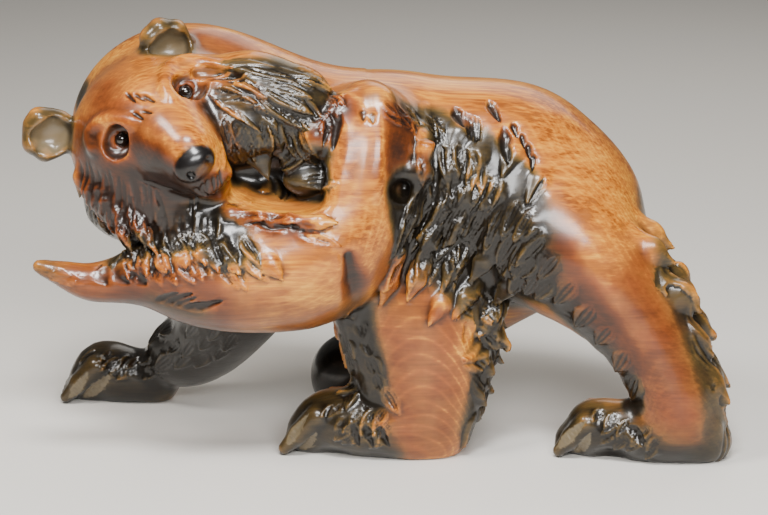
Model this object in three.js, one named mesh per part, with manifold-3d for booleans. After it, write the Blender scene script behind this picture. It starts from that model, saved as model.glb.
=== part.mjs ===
// A bear carved from one block of wood. It strides on four planted feet, holds one forelimb out in
// front and turns its head to look over its shoulder. Two glass eyes sit in sockets in the wood.
// Millimetres: the tail end lies toward +X, the side the bear looks to is -Y, up is +Z.
import * as THREE from "three";
import Module from "manifold-3d";

// Fineness of the solid
const CELL = 4;
const TRIANGLES = 8900;
const FIELD_LOW = [-262, -150, -12];
const FIELD_HIGH = [262, 126, 322];

// Glass eyes
const EYE_RADIUS = 5.2;
const EYE_GAP = 0.4;

// Trunk: centre, half sizes and blend of each swelling
const TRUNK = [
  { at: [-136, 14, 220], half: [84, 56, 77], blend: 30 },
  { at: [-5, 8, 188], half: [126, 66, 77], blend: 58 },
  { at: [78, 8, 185], half: [83, 64, 73], blend: 16 },
  { at: [126, 6, 160], half: [58, 61, 65], blend: 14 },
  { at: [-88, 34, 186], half: [56, 40, 66], blend: 22 },
];

// Limbs: centre line points as x, y, z, radius, from the trunk to the ground
const NEAR_HIND = [
  [112, -22, 160, 48], [148, -34, 131, 37], [179, -42, 97, 28.5], [201, -48, 62, 25.5],
  [207, -52, 32, 25],
];
const NEAR_HIND_PAW = [[226, -52, 14, 15], [192, -50, 18, 19], [162, -44, 20, 17], [146, -40, 19, 17]];
const NEAR_LEG = [[20, -12, 132, 55], [24, -24, 86, 46], [28, -34, 50, 36], [28, -38, 18, 28]];
const NEAR_LEG_PAW = [[12, -42, 20, 20], [-18, -38, 22, 20], [-40, -32, 22, 18], [-54, -30, 13, 13]];
const FAR_FORE = [[-85, 24, 140, 44], [-108, 42, 92, 34], [-129, 62, 55, 26], [-152, 75, 38, 23]];
const FAR_FORE_PAW = [[-172, 84, 18, 17], [-192, 86, 18, 17], [-210, 88, 22, 18], [-222, 88, 14, 12]];
const FAR_HIND = [
  [110, 30, 140, 44], [79, 50, 100, 30], [36, 64, 62, 26], [4, 70, 34, 25], [-28, 73, 24, 26],
];
const SOLES = [
  [[222, -52, 11, 14], [132, -36, 9, 11]],
  [[36, -36, 14, 18], [-54, -30, 9, 12]],
  [[-170, 84, 10, 14], [-222, 88, 9, 12]],
  [[4, 70, 15, 18], [-32, 73, 14, 18]],
];
const RAISED_LIMB = [
  [-12, -38, 228, 34], [-20, -42, 190, 38], [-48, -50, 152, 44], [-95, -62, 141, 37],
  [-130, -72, 140, 29], [-155, -77, 142, 20], [-180, -81, 138, 13.5], [-200, -83, 137, 11],
  [-217, -85, 143, 8], [-233, -87, 149, 4.5],
];

// Head: centre of the skull, the way the face looks and the way the crown points
const SKULL = [-158, -34, 226];
const LOOK = unit([0.25, -0.966, 0.03]);
const CROWN = upright([-0.586, -0.127, 0.799], LOOK);
const CHEEK = cross(CROWN, LOOK);
const FACE_MIDDLE = 9;
const EYES = { left: [37, -18, 23], right: [37, 35, 20.5] };
const EARS = [[-10, -54, 47], [-12, 47, 42]];
const EAR_HALF = [12, 18, 18];

function add(a, b) {
  return [a[0] + b[0], a[1] + b[1], a[2] + b[2]];
}

function scale(a, s) {
  return [a[0] * s, a[1] * s, a[2] * s];
}

function sub(a, b) {
  return add(a, scale(b, -1));
}

function dot(a, b) {
  return a[0] * b[0] + a[1] * b[1] + a[2] * b[2];
}

function cross(a, b) {
  return [a[1] * b[2] - a[2] * b[1], a[2] * b[0] - a[0] * b[2], a[0] * b[1] - a[1] * b[0]];
}

function unit(a) {
  return scale(a, 1 / Math.hypot(...a));
}

// The part of a vector that stands square to another one
function upright(a, across) {
  return unit(sub(a, scale(across, dot(a, across))));
}

// Head coordinates, forward, sideways and up, to the part's own
function inHead([forward, sideways, up]) {
  return add(SKULL, add(scale(LOOK, forward), add(scale(CHEEK, sideways), scale(CROWN, up))));
}

function headBones(points) {
  return points.map(([f, s, u, r]) => [...inHead([f, s, u]), r]);
}

// A repeatable number between 0 and 1 for the carver's unevenness
function chance(n) {
  const s = Math.sin(n * 12.9898) * 43758.5453;
  return s - Math.floor(s);
}

// The shape is kept as distances to the skin, in a block of cells, less than zero inside the wood
const COUNT = FIELD_LOW.map((low, i) => Math.ceil((FIELD_HIGH[i] - low) / CELL) + 1);
const field = new Float32Array(COUNT[0] * COUNT[1] * COUNT[2]).fill(60);

function cellAt(i, j, k) {
  return (i * COUNT[1] + j) * COUNT[2] + k;
}

function join(a, b, blend) {
  const h = Math.max(blend - Math.abs(a - b), 0) / blend;
  return Math.min(a, b) - h * h * blend * 0.25;
}

// Adds a shape to the wood, or takes it away, over the cells that its box and blend can reach
function shape(low, high, distance, blend, taken) {
  const from = low.map((v, i) => Math.max(0, Math.floor((v - blend - 8 - FIELD_LOW[i]) / CELL)));
  const to = high.map((v, i) => Math.min(COUNT[i], Math.ceil((v + blend + 8 - FIELD_LOW[i]) / CELL) + 1));
  const p = [0, 0, 0];
  for (let i = from[0]; i < to[0]; i++) {
    p[0] = FIELD_LOW[0] + i * CELL;
    for (let j = from[1]; j < to[1]; j++) {
      p[1] = FIELD_LOW[1] + j * CELL;
      for (let k = from[2]; k < to[2]; k++) {
        p[2] = FIELD_LOW[2] + k * CELL;
        const c = cellAt(i, j, k);
        const d = distance(p);
        field[c] = taken ? -join(-field[c], d, blend) : join(field[c], d, blend);
      }
    }
  }
}

const STRAIGHT = [[1, 0, 0], [0, 1, 0], [0, 0, 1]];
const HEAD_AXES = [LOOK, CHEEK, CROWN];

// A rounded swelling with three half sizes
function swell(at, half, { blend = 12, axes = STRAIGHT, taken = false } = {}) {
  const reach = [0, 1, 2].map((i) => Math.hypot(...axes.map((axis, n) => axis[i] * half[n])));
  const distance = (p) => {
    let near = 0;
    let slope = 0;
    for (let n = 0; n < 3; n++) {
      const axis = axes[n];
      const along = (p[0] - at[0]) * axis[0] + (p[1] - at[1]) * axis[1] + (p[2] - at[2]) * axis[2];
      const q = along / half[n];
      near += q * q;
      slope += (q * q) / (half[n] * half[n]);
    }
    const k = Math.sqrt(near) + 1e-6;
    return (k * (k - 1)) / (Math.sqrt(slope) + 1e-6);
  };
  shape(sub(at, reach), add(at, reach), distance, blend, taken);
}

// One tapered length of limb; flat squeezes it along a direction
function boneDistance(p, a, b, flat) {
  const ab = [b[0] - a[0], b[1] - a[1], b[2] - a[2]];
  const ap = [p[0] - a[0], p[1] - a[1], p[2] - a[2]];
  const t = Math.min(1, Math.max(0, dot(ap, ab) / dot(ab, ab)));
  const q = [ap[0] - ab[0] * t, ap[1] - ab[1] * t, ap[2] - ab[2] * t];
  let square = dot(q, q);
  if (flat) {
    const w = dot(q, flat.along);
    square += w * w * (1 / (flat.by * flat.by) - 1);
  }
  return Math.sqrt(square) - (a[3] + (b[3] - a[3]) * t);
}

function limb(points, { blend = 12, flat = null, taken = false, knit = null } = {}) {
  const low = [0, 1, 2].map((i) => Math.min(...points.map((p) => p[i] - p[3])));
  const high = [0, 1, 2].map((i) => Math.max(...points.map((p) => p[i] + p[3])));
  const distance = (p) => {
    let d = boneDistance(p, points[0], points[1], flat);
    for (let n = 1; n < points.length - 1; n++) {
      const soft = knit ?? Math.max(1, 0.5 * Math.min(points[n][3], points[n + 1][3]));
      d = join(d, boneDistance(p, points[n], points[n + 1], flat), soft);
    }
    return d;
  };
  shape(low, high, distance, blend, taken);
}

// Extra points on a smooth curve through the given ones
function smooth(points, parts = 3) {
  const out = [];
  for (let n = 0; n < points.length - 1; n++) {
    const [a, b, c, d] = [-1, 0, 1, 2].map((o) => points[Math.min(points.length - 1, Math.max(0, n + o))]);
    for (let s = 0; s < parts; s++) {
      const t = s / parts;
      out.push(b.map((v, i) => {
        const bend = 2 * a[i] - 5 * v + 4 * c[i] - d[i];
        const twist = -a[i] + 3 * v - 3 * c[i] + d[i];
        return 0.5 * (2 * v + (c[i] - a[i]) * t + bend * t * t + twist * t * t * t);
      }));
    }
  }
  out.push(points[points.length - 1]);
  return out;
}

// Distance and outward direction at any place
function depthAt(p) {
  const q = p.map((v, i) => (v - FIELD_LOW[i]) / CELL);
  const c = q.map((v, i) => Math.min(COUNT[i] - 2, Math.max(0, Math.floor(v))));
  const f = q.map((v, i) => v - c[i]);
  let sum = 0;
  for (let n = 0; n < 8; n++) {
    const o = [n & 1, (n >> 1) & 1, (n >> 2) & 1];
    const share = o.reduce((w, v, i) => w * (v ? f[i] : 1 - f[i]), 1);
    sum += share * field[cellAt(c[0] + o[0], c[1] + o[1], c[2] + o[2])];
  }
  return sum;
}

function outward(p) {
  return unit(STRAIGHT.map((d) => depthAt(add(p, scale(d, CELL))) - depthAt(sub(p, scale(d, CELL)))));
}

// First skin met when looking along Y from the near side (-1) or the far side (+1)
function skin(x, z, side) {
  let y = side < 0 ? -146 : 122;
  let before = depthAt([x, y, z]);
  for (let n = 0; n < 120; n++) {
    const next = y - side * 2;
    const now = depthAt([x, next, z]);
    if (now < 0) {
      return [x, y - (side * 2 * before) / (before - now), z];
    }
    before = now;
    y = next;
  }
  return null;
}

// A pointed lock of fur from root to tip, flat against the skin and lifting toward its tip
function lock(root, tip, width, out, { lift = 4, blend = 3, thin = 0.5, sunk = 0.3 } = {}) {
  const middle = scale(add(root, tip), 0.5);
  const points = [
    [...sub(root, scale(out, sunk * width)), width * 0.45],
    [...add(middle, scale(out, lift * 0.45)), width * 0.5],
    [...add(tip, scale(out, lift)), 1.1],
  ];
  limb(points, { blend, flat: { along: out, by: thin }, knit: 2 });
}

function skinLock(x, z, angle, length, width, side, options) {
  const turn = (angle * Math.PI) / 180;
  const root = skin(x, z, side);
  const tip = skin(x + Math.cos(turn) * length, z + Math.sin(turn) * length, side);
  if (root && tip && Math.abs(root[1] - tip[1]) < length * 1.2) {
    lock(root, tip, width, outward(scale(add(root, tip), 0.5)), options);
  }
}

// Evenly spread places along a line, each with its direction
function spread(points, count) {
  const lengths = [0];
  for (let n = 1; n < points.length; n++) {
    lengths.push(lengths[n - 1] + Math.hypot(...sub(points[n], points[n - 1])));
  }
  const out = [];
  for (let i = 0; i < count; i++) {
    const s = (lengths[lengths.length - 1] * (i + 0.5)) / count;
    const n = Math.max(0, Math.min(points.length - 2, lengths.findIndex((v) => v >= s) - 1));
    const t = (s - lengths[n]) / (lengths[n + 1] - lengths[n]);
    const way = unit(sub(points[n + 1], points[n]));
    out.push({ at: add(points[n], scale(sub(points[n + 1], points[n]), t)), way });
  }
  return out;
}

// Trunk, legs, neck and skull
TRUNK.forEach(({ at, half, blend }) => swell(at, half, { blend }));
limb(smooth(NEAR_HIND), { blend: 20 });
limb(smooth(NEAR_HIND_PAW), { blend: 10 });
limb(smooth(NEAR_LEG), { blend: 18, flat: { along: [0, 1, 0], by: 0.75 } });
limb(smooth(NEAR_LEG_PAW), { blend: 12 });
limb(smooth(FAR_FORE), { blend: 14 });
limb(smooth(FAR_FORE_PAW), { blend: 12 });
limb(smooth(FAR_HIND), { blend: 16 });
SOLES.forEach((sole) => limb(sole, { blend: 8 }));
limb(smooth(RAISED_LIMB), { blend: 12 });
swell([-11, -44, 256], [15, 15, 12], { blend: 10 });
limb([[-120, 10, 215, 60], [-148, -12, 222, 55]], { blend: 18 });
swell(inHead([0, 2, 2]), [54, 60, 54], { blend: 14, axes: HEAD_AXES });

// Brow, muzzle, jaw, cheeks and nose
const F = FACE_MIDDLE;
swell(inHead([32, F - 1, 17]), [22, 43, 27], { blend: 14, axes: HEAD_AXES });
swell(inHead([40, F, -6]), [36, 29, 24], { blend: 10, axes: HEAD_AXES });
limb(headBones([[28, F - 1, 14, 26], [50, F, 5, 24], [68, F + 1, -4, 20]]), { blend: 12 });
limb(headBones([[42, F, -15, 25], [65, F + 1, -18, 19]]), { blend: 8 });
limb(headBones([[26, F + 1, -31, 22], [55, F + 3, -34, 12]]), { blend: 5 });
swell(inHead([22, -30, -22]), [26, 26, 32], { blend: 12, axes: HEAD_AXES });
swell(inHead([18, 47, -16]), [26, 22, 28], { blend: 12, axes: HEAD_AXES });
swell(inHead([83, F + 2, -7]), [9, 12.5, 9.5], { blend: 3, axes: HEAD_AXES });

// Ruff: a broad one on the shoulder side, a long one down the other cheek, and the throat
const RUFF_FLAT = { along: unit([0.1, -1, 0.2]), by: 0.72 };
limb([[-118, -46, 252, 34], [-88, -52, 254, 33], [-60, -54, 255, 26]], { blend: 12, flat: RUFF_FLAT });
limb([[-104, -58, 240, 24], [-82, -62, 236, 17]], { blend: 8 });
limb([[...inHead([0, -34, -22]), 34], [-178, -46, 184, 26], [-168, -54, 166, 13]], { blend: 12 });
limb([[-150, -56, 186, 28], [-112, -60, 172, 28]], { blend: 12 });

// Ears with hollow cups
EARS.forEach((ear) => {
  const at = inHead(ear);
  swell(at, EAR_HALF, { blend: 7, axes: HEAD_AXES });
  swell(add(at, scale(LOOK, 9)), [12, 13, 13.5], { blend: 3, axes: HEAD_AXES, taken: true });
});

// Almond hollows that hold the eyes
Object.values(EYES).forEach((eye) => {
  const at = inHead(eye);
  swell(add(at, scale(LOOK, 8)), [9, 14, 9], { blend: 4, axes: HEAD_AXES, taken: true });
  swell(sub(at, scale(LOOK, 2)), [7.5, 7.5, 7.5], { blend: 3, axes: HEAD_AXES });
});

// Hollow between cheek and shoulder, with a rolled lobe at its upper corner
swell([-66, -90, 206], [35, 44, 22], { blend: 5, taken: true });
limb([[-60, -58, 220, 11], [-46, -66, 234, 12], [-32, -62, 246, 11]], { blend: 6 });

// Valley between the shoulder and the flank, and the small hole with its lip
const VALLEY = [[8, -76, 246, 4], [16, -84, 200, 11], [22, -86, 160, 9], [30, -82, 135, 4]];
limb(VALLEY, { blend: 10, taken: true });
swell([14, -78, 197], [9, 24, 9], { blend: 4, taken: true });
swell([26, -66, 211], [11, 11, 9], { blend: 4 });

// Notch under the elbow of the raised limb
limb([[-24, -96, 158, 2], [-20, -94, 140, 6], [-12, -86, 114, 14]], { blend: 6, taken: true });

// Toes and claws: pairs of knuckle and claw tip across each paw
function toes(knuckle, claw, across, count) {
  for (let n = 0; n < count; n++) {
    const aside = scale(across, n - (count - 1) / 2);
    const drop = Math.abs(n - (count - 1) / 2) * 1.5;
    const top = sub(add(knuckle, aside), [0, 0, drop]);
    const end = add(claw, aside);
    limb([[...top, 9], [...add(scale(top, 0.45), scale(end, 0.55)), 7.5], [...end, 4.5]], { blend: 3 });
  }
}
toes([145, -38, 28], [126, -35, 5], [2, 10, 0], 4);
toes([-44, -32, 31], [-67, -30, 5], [2, 10, 0], 4);
toes([-214, 88, 31], [-237, 88, 5], [0, 10.5, 0], 4);

// Hollow of the instep on the near paws
swell([158, -66, 1], [15, 16, 9], { blend: 4, taken: true });
swell([-36, -56, 0], [14, 13, 6], { blend: 4, taken: true });

// Pointed tufts down the rear of the near hind leg
const REAR_EDGE = [
  [174, -38, 172], [195, -42, 140], [208, -45, 108], [220, -48, 74], [227, -50, 42], [231, -52, 16],
];
for (let row = 0; row < 3; row++) {
  spread(REAR_EDGE, 5).forEach(({ at, way }, n) => {
    const out = unit(add(scale(way, 0.62), [0.78, 0.12 * (row - 1), 0]));
    const start = add(at, [row === 0 ? -7 : -3, 15 * row - 14, 9 * (row - 1)]);
    const length = n < 4 ? 23 + 6 * chance(n + 7 * row) : 10;
    lock(sub(start, scale(out, 12)), add(start, scale(out, length)), 19, [0.1, 0.99, 0.1], {
      lift: 0, blend: 4, thin: 0.6, sunk: 0,
    });
  });
}

// Rounded lobes on the front edge of the near hind leg
const HIND_FRONT = [
  [112, -44, 130], [130, -46, 118], [151, -48, 97], [168, -50, 79], [180, -52, 62], [182, -52, 50],
];
spread(HIND_FRONT, 8).forEach(({ at }) => swell(at, [11, 12, 9], { blend: 2.5 }));

// Tufts and leaves on the rear of the near leg, and lobes on its front
const LEG_REAR = [[74, -24, 122], [73, -30, 90], [64, -34, 56], [50, -38, 20]];
for (let row = 0; row < 2; row++) {
  spread(LEG_REAR, 5).forEach(({ at, way }, n) => {
    const out = unit(add(scale(way, 0.6), [0.8, 0, 0]));
    const start = add(at, [3 * row - 3, 16 * row - 12, 7 * row]);
    const length = n < 4 ? 15 + 6 * chance(n + 11 * row) : 7;
    lock(sub(start, scale(out, 14)), add(start, scale(out, length)), 20, [0, 1, 0.1], {
      lift: 0, blend: 4, thin: 0.6, sunk: 0,
    });
  });
}
spread([[-26, -38, 112], [-15, -40, 86], [-6, -42, 64], [1, -44, 46]], 6).forEach(({ at }) => {
  swell(at, [11, 14, 9.5], { blend: 2.5 });
});

// Locks of the flank, falling down and forward in overlapping rows
for (let row = 0; row < 5; row++) {
  for (let column = 0; column < 5; column++) {
    const n = row * 5 + column;
    const u = column / 4;
    const x = 36 + 80 * u - 7 * row + 8 * chance(n) - 4;
    const z = 246 - 30 * u - 25 * row + 10 * (column % 2) + 6 * chance(n + 50) - 3;
    skinLock(x, z, -110 - 16 * u + 14 * chance(n + 90) - 7, 34, 14, -1, { lift: 5.5 });
  }
}

// Fewer, shallower locks on the far flank
for (let row = 0; row < 3; row++) {
  for (let column = 0; column < 4; column++) {
    const n = 200 + row * 4 + column;
    const x = -60 + 52 * column - 10 * row + 8 * chance(n);
    skinLock(x, 226 - 30 * row + 8 * (column % 2), -118 + 12 * chance(n + 9), 36, 15, 1, { lift: 3.5 });
  }
}

// Ruff locks: right-hand fan, then the long fringe down the other cheek
for (let n = 0; n < 5; n++) {
  const t = n / 4;
  const angle = (-4 - 66 * t) * (Math.PI / 180);
  const root = [-70 - 20 * t, -64, 268 - 32 * t];
  const tip = add(root, [34 * Math.cos(angle), 6 - 8 * t, 34 * Math.sin(angle)]);
  lock(root, tip, 17, [0.1, -0.98, 0.17], { lift: 2, thin: 0.6, sunk: 0.1 });
  skinLock(-98 - 8 * t, 276 - 36 * t, -6 - 48 * t, 34, 14, -1, { lift: 4 });
}
for (let n = 0; n < 6; n++) {
  const t = n / 5;
  skinLock(-208 + 26 * t, 216 - 34 * t, -84 + 24 * t, 26, 12, -1, { lift: 3, thin: 0.6 });
  skinLock(-190 + 22 * t, 206 - 22 * t, -78 + 20 * t, 28, 12, -1, { lift: 3, thin: 0.5 });
}

// Scalloped fur along the top of the raised limb and inside its elbow
for (let n = 0; n < 6; n++) {
  skinLock(-176 + 13 * n, 156 + 3 * n, -72, 15, 11, -1, { lift: 3 });
}
for (let n = 0; n < 4; n++) {
  skinLock(-122 + 12 * n, 174 - 3 * n, -66 + 6 * n, 28, 13, -1, { lift: 3.5 });
}

// Fluted ridges of fur where the chest meets the hollow
for (let n = 0; n < 4; n++) {
  skinLock(-116 + 20 * n, 186 - n, -4, 26, 10, -1, { lift: 3 });
}

// The table cuts the soles flat
for (let i = 0; i < COUNT[0]; i++) {
  for (let j = 0; j < COUNT[1]; j++) {
    for (let k = 0; k < COUNT[2]; k++) {
      const c = cellAt(i, j, k);
      field[c] = -join(-field[c], FIELD_LOW[2] + k * CELL, 2);
    }
  }
}

// Corners of a cell, as steps of 0 or 1 along each direction, and where they lie in the block
const CORNERS = Array.from({ length: 8 }, (_, n) => [n & 1, (n >> 1) & 1, (n >> 2) & 1]);
const CORNER_STEPS = CORNERS.map(([i, j, k]) => cellAt(i, j, k));

// Whether the corners inside the wood hang together, and those outside too
function isSimple(mask) {
  const together = (wanted) => {
    const members = CORNERS.map((_, n) => n).filter((n) => ((mask >> n) & 1) === wanted);
    const met = members.slice(0, 1);
    for (const n of met) {
      const next = [1, 2, 4].map((bit) => n ^ bit).filter((m) => members.includes(m) && !met.includes(m));
      met.push(...next);
    }
    return met.length === members.length;
  };
  return together(0) && together(1);
}
const SIMPLE = Array.from({ length: 256 }, (_, mask) => isSimple(mask));

function maskOf(c) {
  return CORNER_STEPS.reduce((mask, step, n) => mask | (field[c + step] < 0 ? 1 << n : 0), 0);
}

function everyCell(visit) {
  for (let i = 0; i < COUNT[0] - 1; i++) {
    for (let j = 0; j < COUNT[1] - 1; j++) {
      for (let k = 0; k < COUNT[2] - 1; k++) {
        visit(cellAt(i, j, k), i, j, k);
      }
    }
  }
}

// Fills pinholes and hair-thin gaps, so that the skin is one clean sheet in every cell
function tidyField() {
  let changed = 1;
  for (let n = 0; n < field.length; n++) {
    if (Math.abs(field[n]) < 0.03 * CELL) {
      field[n] = field[n] < 0 ? -0.03 * CELL : 0.03 * CELL;
    }
  }
  while (changed) {
    changed = 0;
    everyCell((c) => {
      if (!SIMPLE[maskOf(c)]) {
        const open = CORNER_STEPS.filter((step) => field[c + step] > 0);
        const least = open.reduce((m, step) => (field[c + step] < field[c + m] ? step : m));
        field[c + least] = -0.1 * CELL;
        changed++;
      }
    });
  }
}

// Skin of the field: one point in each cell that the skin crosses, joined across the crossed edges
function crossings() {
  const points = [];
  const faces = [];
  const pointOf = new Int32Array(field.length).fill(-1);
  everyCell((c, i, j, k) => {
    const mask = maskOf(c);
    if (mask === 0 || mask === 255) {
      return;
    }
    const sum = [0, 0, 0];
    let count = 0;
    for (let n = 0; n < 8; n++) {
      for (let way = 0; way < 3; way++) {
        const m = n | (1 << way);
        if (m !== n && ((mask >> n) & 1) !== ((mask >> m) & 1)) {
          const from = field[c + CORNER_STEPS[n]];
          const t = from / (from - field[c + CORNER_STEPS[m]]);
          CORNERS[n].forEach((v, axis) => {
            sum[axis] += v + (axis === way ? t : 0);
          });
          count++;
        }
      }
    }
    pointOf[c] = points.length;
    points.push([i, j, k].map((v, axis) => FIELD_LOW[axis] + (v + sum[axis] / count) * CELL));
  });
  everyCell((c) => {
    for (let way = 0; way < 3; way++) {
      const inside = field[c] < 0;
      if (inside !== field[c + CORNER_STEPS[1 << way]] < 0) {
        const u = CORNER_STEPS[1 << (way + 1) % 3];
        const v = CORNER_STEPS[1 << (way + 2) % 3];
        const ring = [pointOf[c - u - v], pointOf[c - v], pointOf[c], pointOf[c - u]];
        const [p, q, r, s] = inside ? ring : ring.reverse();
        faces.push([p, q, r], [p, r, s]);
      }
    }
  });
  return { points, faces };
}

// Keeps only the largest connected body
function largest({ points, faces }) {
  const owner = points.map((_, n) => n);
  const find = (n) => {
    while (owner[n] !== n) {
      owner[n] = owner[owner[n]];
      n = owner[n];
    }
    return n;
  };
  faces.forEach(([a, b, c]) => {
    owner[find(a)] = find(b);
    owner[find(b)] = find(c);
  });
  const size = new Map();
  faces.forEach(([a]) => size.set(find(a), (size.get(find(a)) ?? 0) + 1));
  const [keep] = [...size].sort((a, b) => b[1] - a[1])[0];
  return { points, faces: faces.filter(([a]) => find(a) === keep) };
}

// A heap of edges, cheapest first
class Queue {
  items = [];

  push(item) {
    const { items } = this;
    let n = items.push(item) - 1;
    while (n > 0 && items[(n - 1) >> 1].cost > item.cost) {
      items[n] = items[(n - 1) >> 1];
      n = (n - 1) >> 1;
    }
    items[n] = item;
  }

  pop() {
    const { items } = this;
    const top = items[0];
    const last = items.pop();
    if (items.length) {
      let n = 0;
      for (;;) {
        let child = 2 * n + 1;
        if (child >= items.length) {
          break;
        }
        if (child + 1 < items.length && items[child + 1].cost < items[child].cost) {
          child++;
        }
        if (items[child].cost >= last.cost) {
          break;
        }
        items[n] = items[child];
        n = child;
      }
      items[n] = last;
    }
    return top;
  }
}

// Thins the facets by closing up the edges whose loss moves the skin least
function thinned({ points, faces }, goal) {
  const sums = points.map(() => new Float64Array(10));
  const around = points.map(() => new Set());
  const stamp = new Int32Array(points.length);
  const alive = new Uint8Array(faces.length).fill(1);
  const square = (f) => cross(sub(points[f[1]], points[f[0]]), sub(points[f[2]], points[f[0]]));
  faces.forEach((f, n) => {
    const across = square(f);
    const area = Math.hypot(...across);
    const m = area > 1e-9 ? scale(across, 1 / area) : [0, 0, 0];
    const d = -dot(m, points[f[0]]);
    const row = [...m, d];
    f.forEach((v) => {
      around[v].add(n);
      let at = 0;
      for (let i = 0; i < 4; i++) {
        for (let j = i; j < 4; j++) {
          sums[v][at++] += row[i] * row[j] * area;
        }
      }
    });
  });
  const error = (q, p) => {
    const [x, y, z] = p;
    return q[0] * x * x + 2 * q[1] * x * y + 2 * q[2] * x * z + 2 * q[3] * x + q[4] * y * y
      + 2 * q[5] * y * z + 2 * q[6] * y + q[7] * z * z + 2 * q[8] * z + q[9];
  };
  const best = (a, b) => {
    const q = sums[a].map((v, i) => v + sums[b][i]);
    const [A, B, C] = [[q[0], q[1], q[2]], [q[1], q[4], q[5]], [q[2], q[5], q[7]]];
    const BC = cross(B, C);
    const det = dot(A, BC);
    const middle = scale(add(points[a], points[b]), 0.5);
    const length = Math.hypot(...sub(points[a], points[b]));
    const options = [middle, points[a], points[b]];
    if (Math.abs(det) > 1e-4 * Math.abs(q[0] + q[4] + q[7]) ** 3) {
      const r = [-q[3], -q[6], -q[8]];
      const rest = add(scale(cross(C, A), r[1] / det), scale(cross(A, B), r[2] / det));
      const p = add(scale(BC, r[0] / det), rest);
      if (Math.hypot(...sub(p, middle)) < length) {
        options.unshift(p);
      }
    }
    const costs = options.map((p) => error(q, p));
    const least = costs.indexOf(Math.min(...costs));
    return { p: options[least], cost: Math.max(0, costs[least]) + 2e-4 * length ** 4 };
  };
  const queue = new Queue();
  const offer = (a, b) => {
    queue.push({ a, b, ...best(a, b), marks: [stamp[a], stamp[b]] });
  };
  const neighbours = (v) => {
    const out = new Set();
    around[v].forEach((n) => faces[n].forEach((w) => out.add(w)));
    out.delete(v);
    return out;
  };
  const shapeOf = (a, b, c) => {
    const across = cross(sub(b, a), sub(c, a));
    const area = Math.hypot(...across);
    const sides = [sub(a, b), sub(b, c), sub(c, a)].map((side) => Math.hypot(...side));
    const longest = Math.max(...sides);
    return { across, area, fullness: area / (longest * longest + 1e-12) };
  };
  const folds = (v, other, p) => {
    for (const n of around[v]) {
      const f = faces[n];
      if (!f.includes(other)) {
        const before = shapeOf(...f.map((w) => points[w]));
        const after = shapeOf(...f.map((w) => (w === v ? p : points[w])));
        const turned = dot(before.across, after.across) < 0.3 * before.area * after.area;
        if ((turned && before.fullness > 0.05) || after.fullness < Math.min(0.08, before.fullness)) {
          return true;
        }
      }
    }
    return false;
  };
  const close = (a, b, p) => {
    points[a] = p;
    sums[a] = sums[a].map((v, i) => v + sums[b][i]);
    let lost = 0;
    for (const n of [...around[b]]) {
      const f = faces[n];
      if (f.includes(a)) {
        alive[n] = 0;
        lost++;
        f.forEach((v) => around[v].delete(n));
      } else {
        faces[n] = f.map((v) => (v === b ? a : v));
        around[a].add(n);
      }
    }
    around[b].clear();
    stamp[a]++;
    stamp[b] = -1;
    neighbours(a).forEach((v) => offer(Math.min(a, v), Math.max(a, v)));
    return lost;
  };
  let left = faces.length;
  for (let round = 0; round < 6 && left > goal; round++) {
    faces.forEach(([a, b, c], n) => {
      if (alive[n]) {
        [[a, b], [b, c], [c, a]].filter(([v, w]) => v < w).forEach(([v, w]) => offer(v, w));
      }
    });
    while (left > goal && queue.items.length) {
      const { a, b, p, marks } = queue.pop();
      if (stamp[a] !== marks[0] || stamp[b] !== marks[1]) {
        continue;
      }
      const nearB = neighbours(b);
      const shared = [...neighbours(a)].filter((v) => nearB.has(v));
      if (shared.length === 2 && !folds(a, b, p) && !folds(b, a, p)) {
        left -= close(a, b, p);
      }
    }
  }
  return { points, faces: faces.filter((_, n) => alive[n]) };
}

// Compact numbering of the points still in use, with the soles dressed level
function packed({ points, faces }) {
  const number = new Map();
  const kept = [];
  const index = faces.flat().map((v) => {
    if (!number.has(v)) {
      number.set(v, kept.length / 3);
      const [x, y, z] = points[v];
      kept.push(x, y, z < 0.4 ? 0 : z);
    }
    return number.get(v);
  });
  return { vertProperties: new Float32Array(kept), triVerts: new Uint32Array(index) };
}

const wasm = await Module();
wasm.setup();

function ball(at, radius, detail) {
  const round = new THREE.IcosahedronGeometry(radius, detail);
  const found = new Map();
  const kept = [];
  const place = round.getAttribute("position");
  const index = Array.from({ length: place.count }, (_, n) => {
    const p = [place.getX(n), place.getY(n), place.getZ(n)];
    const key = p.map((v) => v.toFixed(3)).join(" ");
    if (!found.has(key)) {
      found.set(key, kept.length / 3);
      kept.push(...add(p, at));
    }
    return found.get(key);
  });
  return { vertProperties: new Float32Array(kept), triVerts: new Uint32Array(index) };
}

function solid(mesh) {
  return new wasm.Manifold(new wasm.Mesh({ numProp: 3, ...mesh }));
}

// The wood, with round sockets cut for the eyes
tidyField();
let wood = solid(packed(thinned(largest(crossings()), TRIANGLES)));
Object.values(EYES).forEach((eye) => {
  wood = wood.subtract(solid(ball(inHead(eye), EYE_RADIUS + EYE_GAP, 2)));
});

// Middle of the footprint and the table level become the origin
const { min, max } = wood.boundingBox();
const origin = [(min[0] + max[0]) / 2, (min[1] + max[1]) / 2, min[2]];

const WOOD = new THREE.MeshStandardMaterial({ name: "carved_wood", color: 0xb5713a, roughness: 0.35 });
const GLASS = new THREE.MeshStandardMaterial({ name: "eye_glass", color: 0x120c08, roughness: 0.08 });

function node(name, mesh, material) {
  const geometry = new THREE.BufferGeometry();
  const moved = Float32Array.from(mesh.vertProperties, (v, n) => v - origin[n % 3]);
  geometry.setAttribute("position", new THREE.BufferAttribute(moved, 3));
  geometry.setIndex(new THREE.BufferAttribute(mesh.triVerts, 1));
  geometry.computeVertexNormals();
  const made = new THREE.Mesh(geometry, material);
  made.name = name;
  return made;
}

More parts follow.
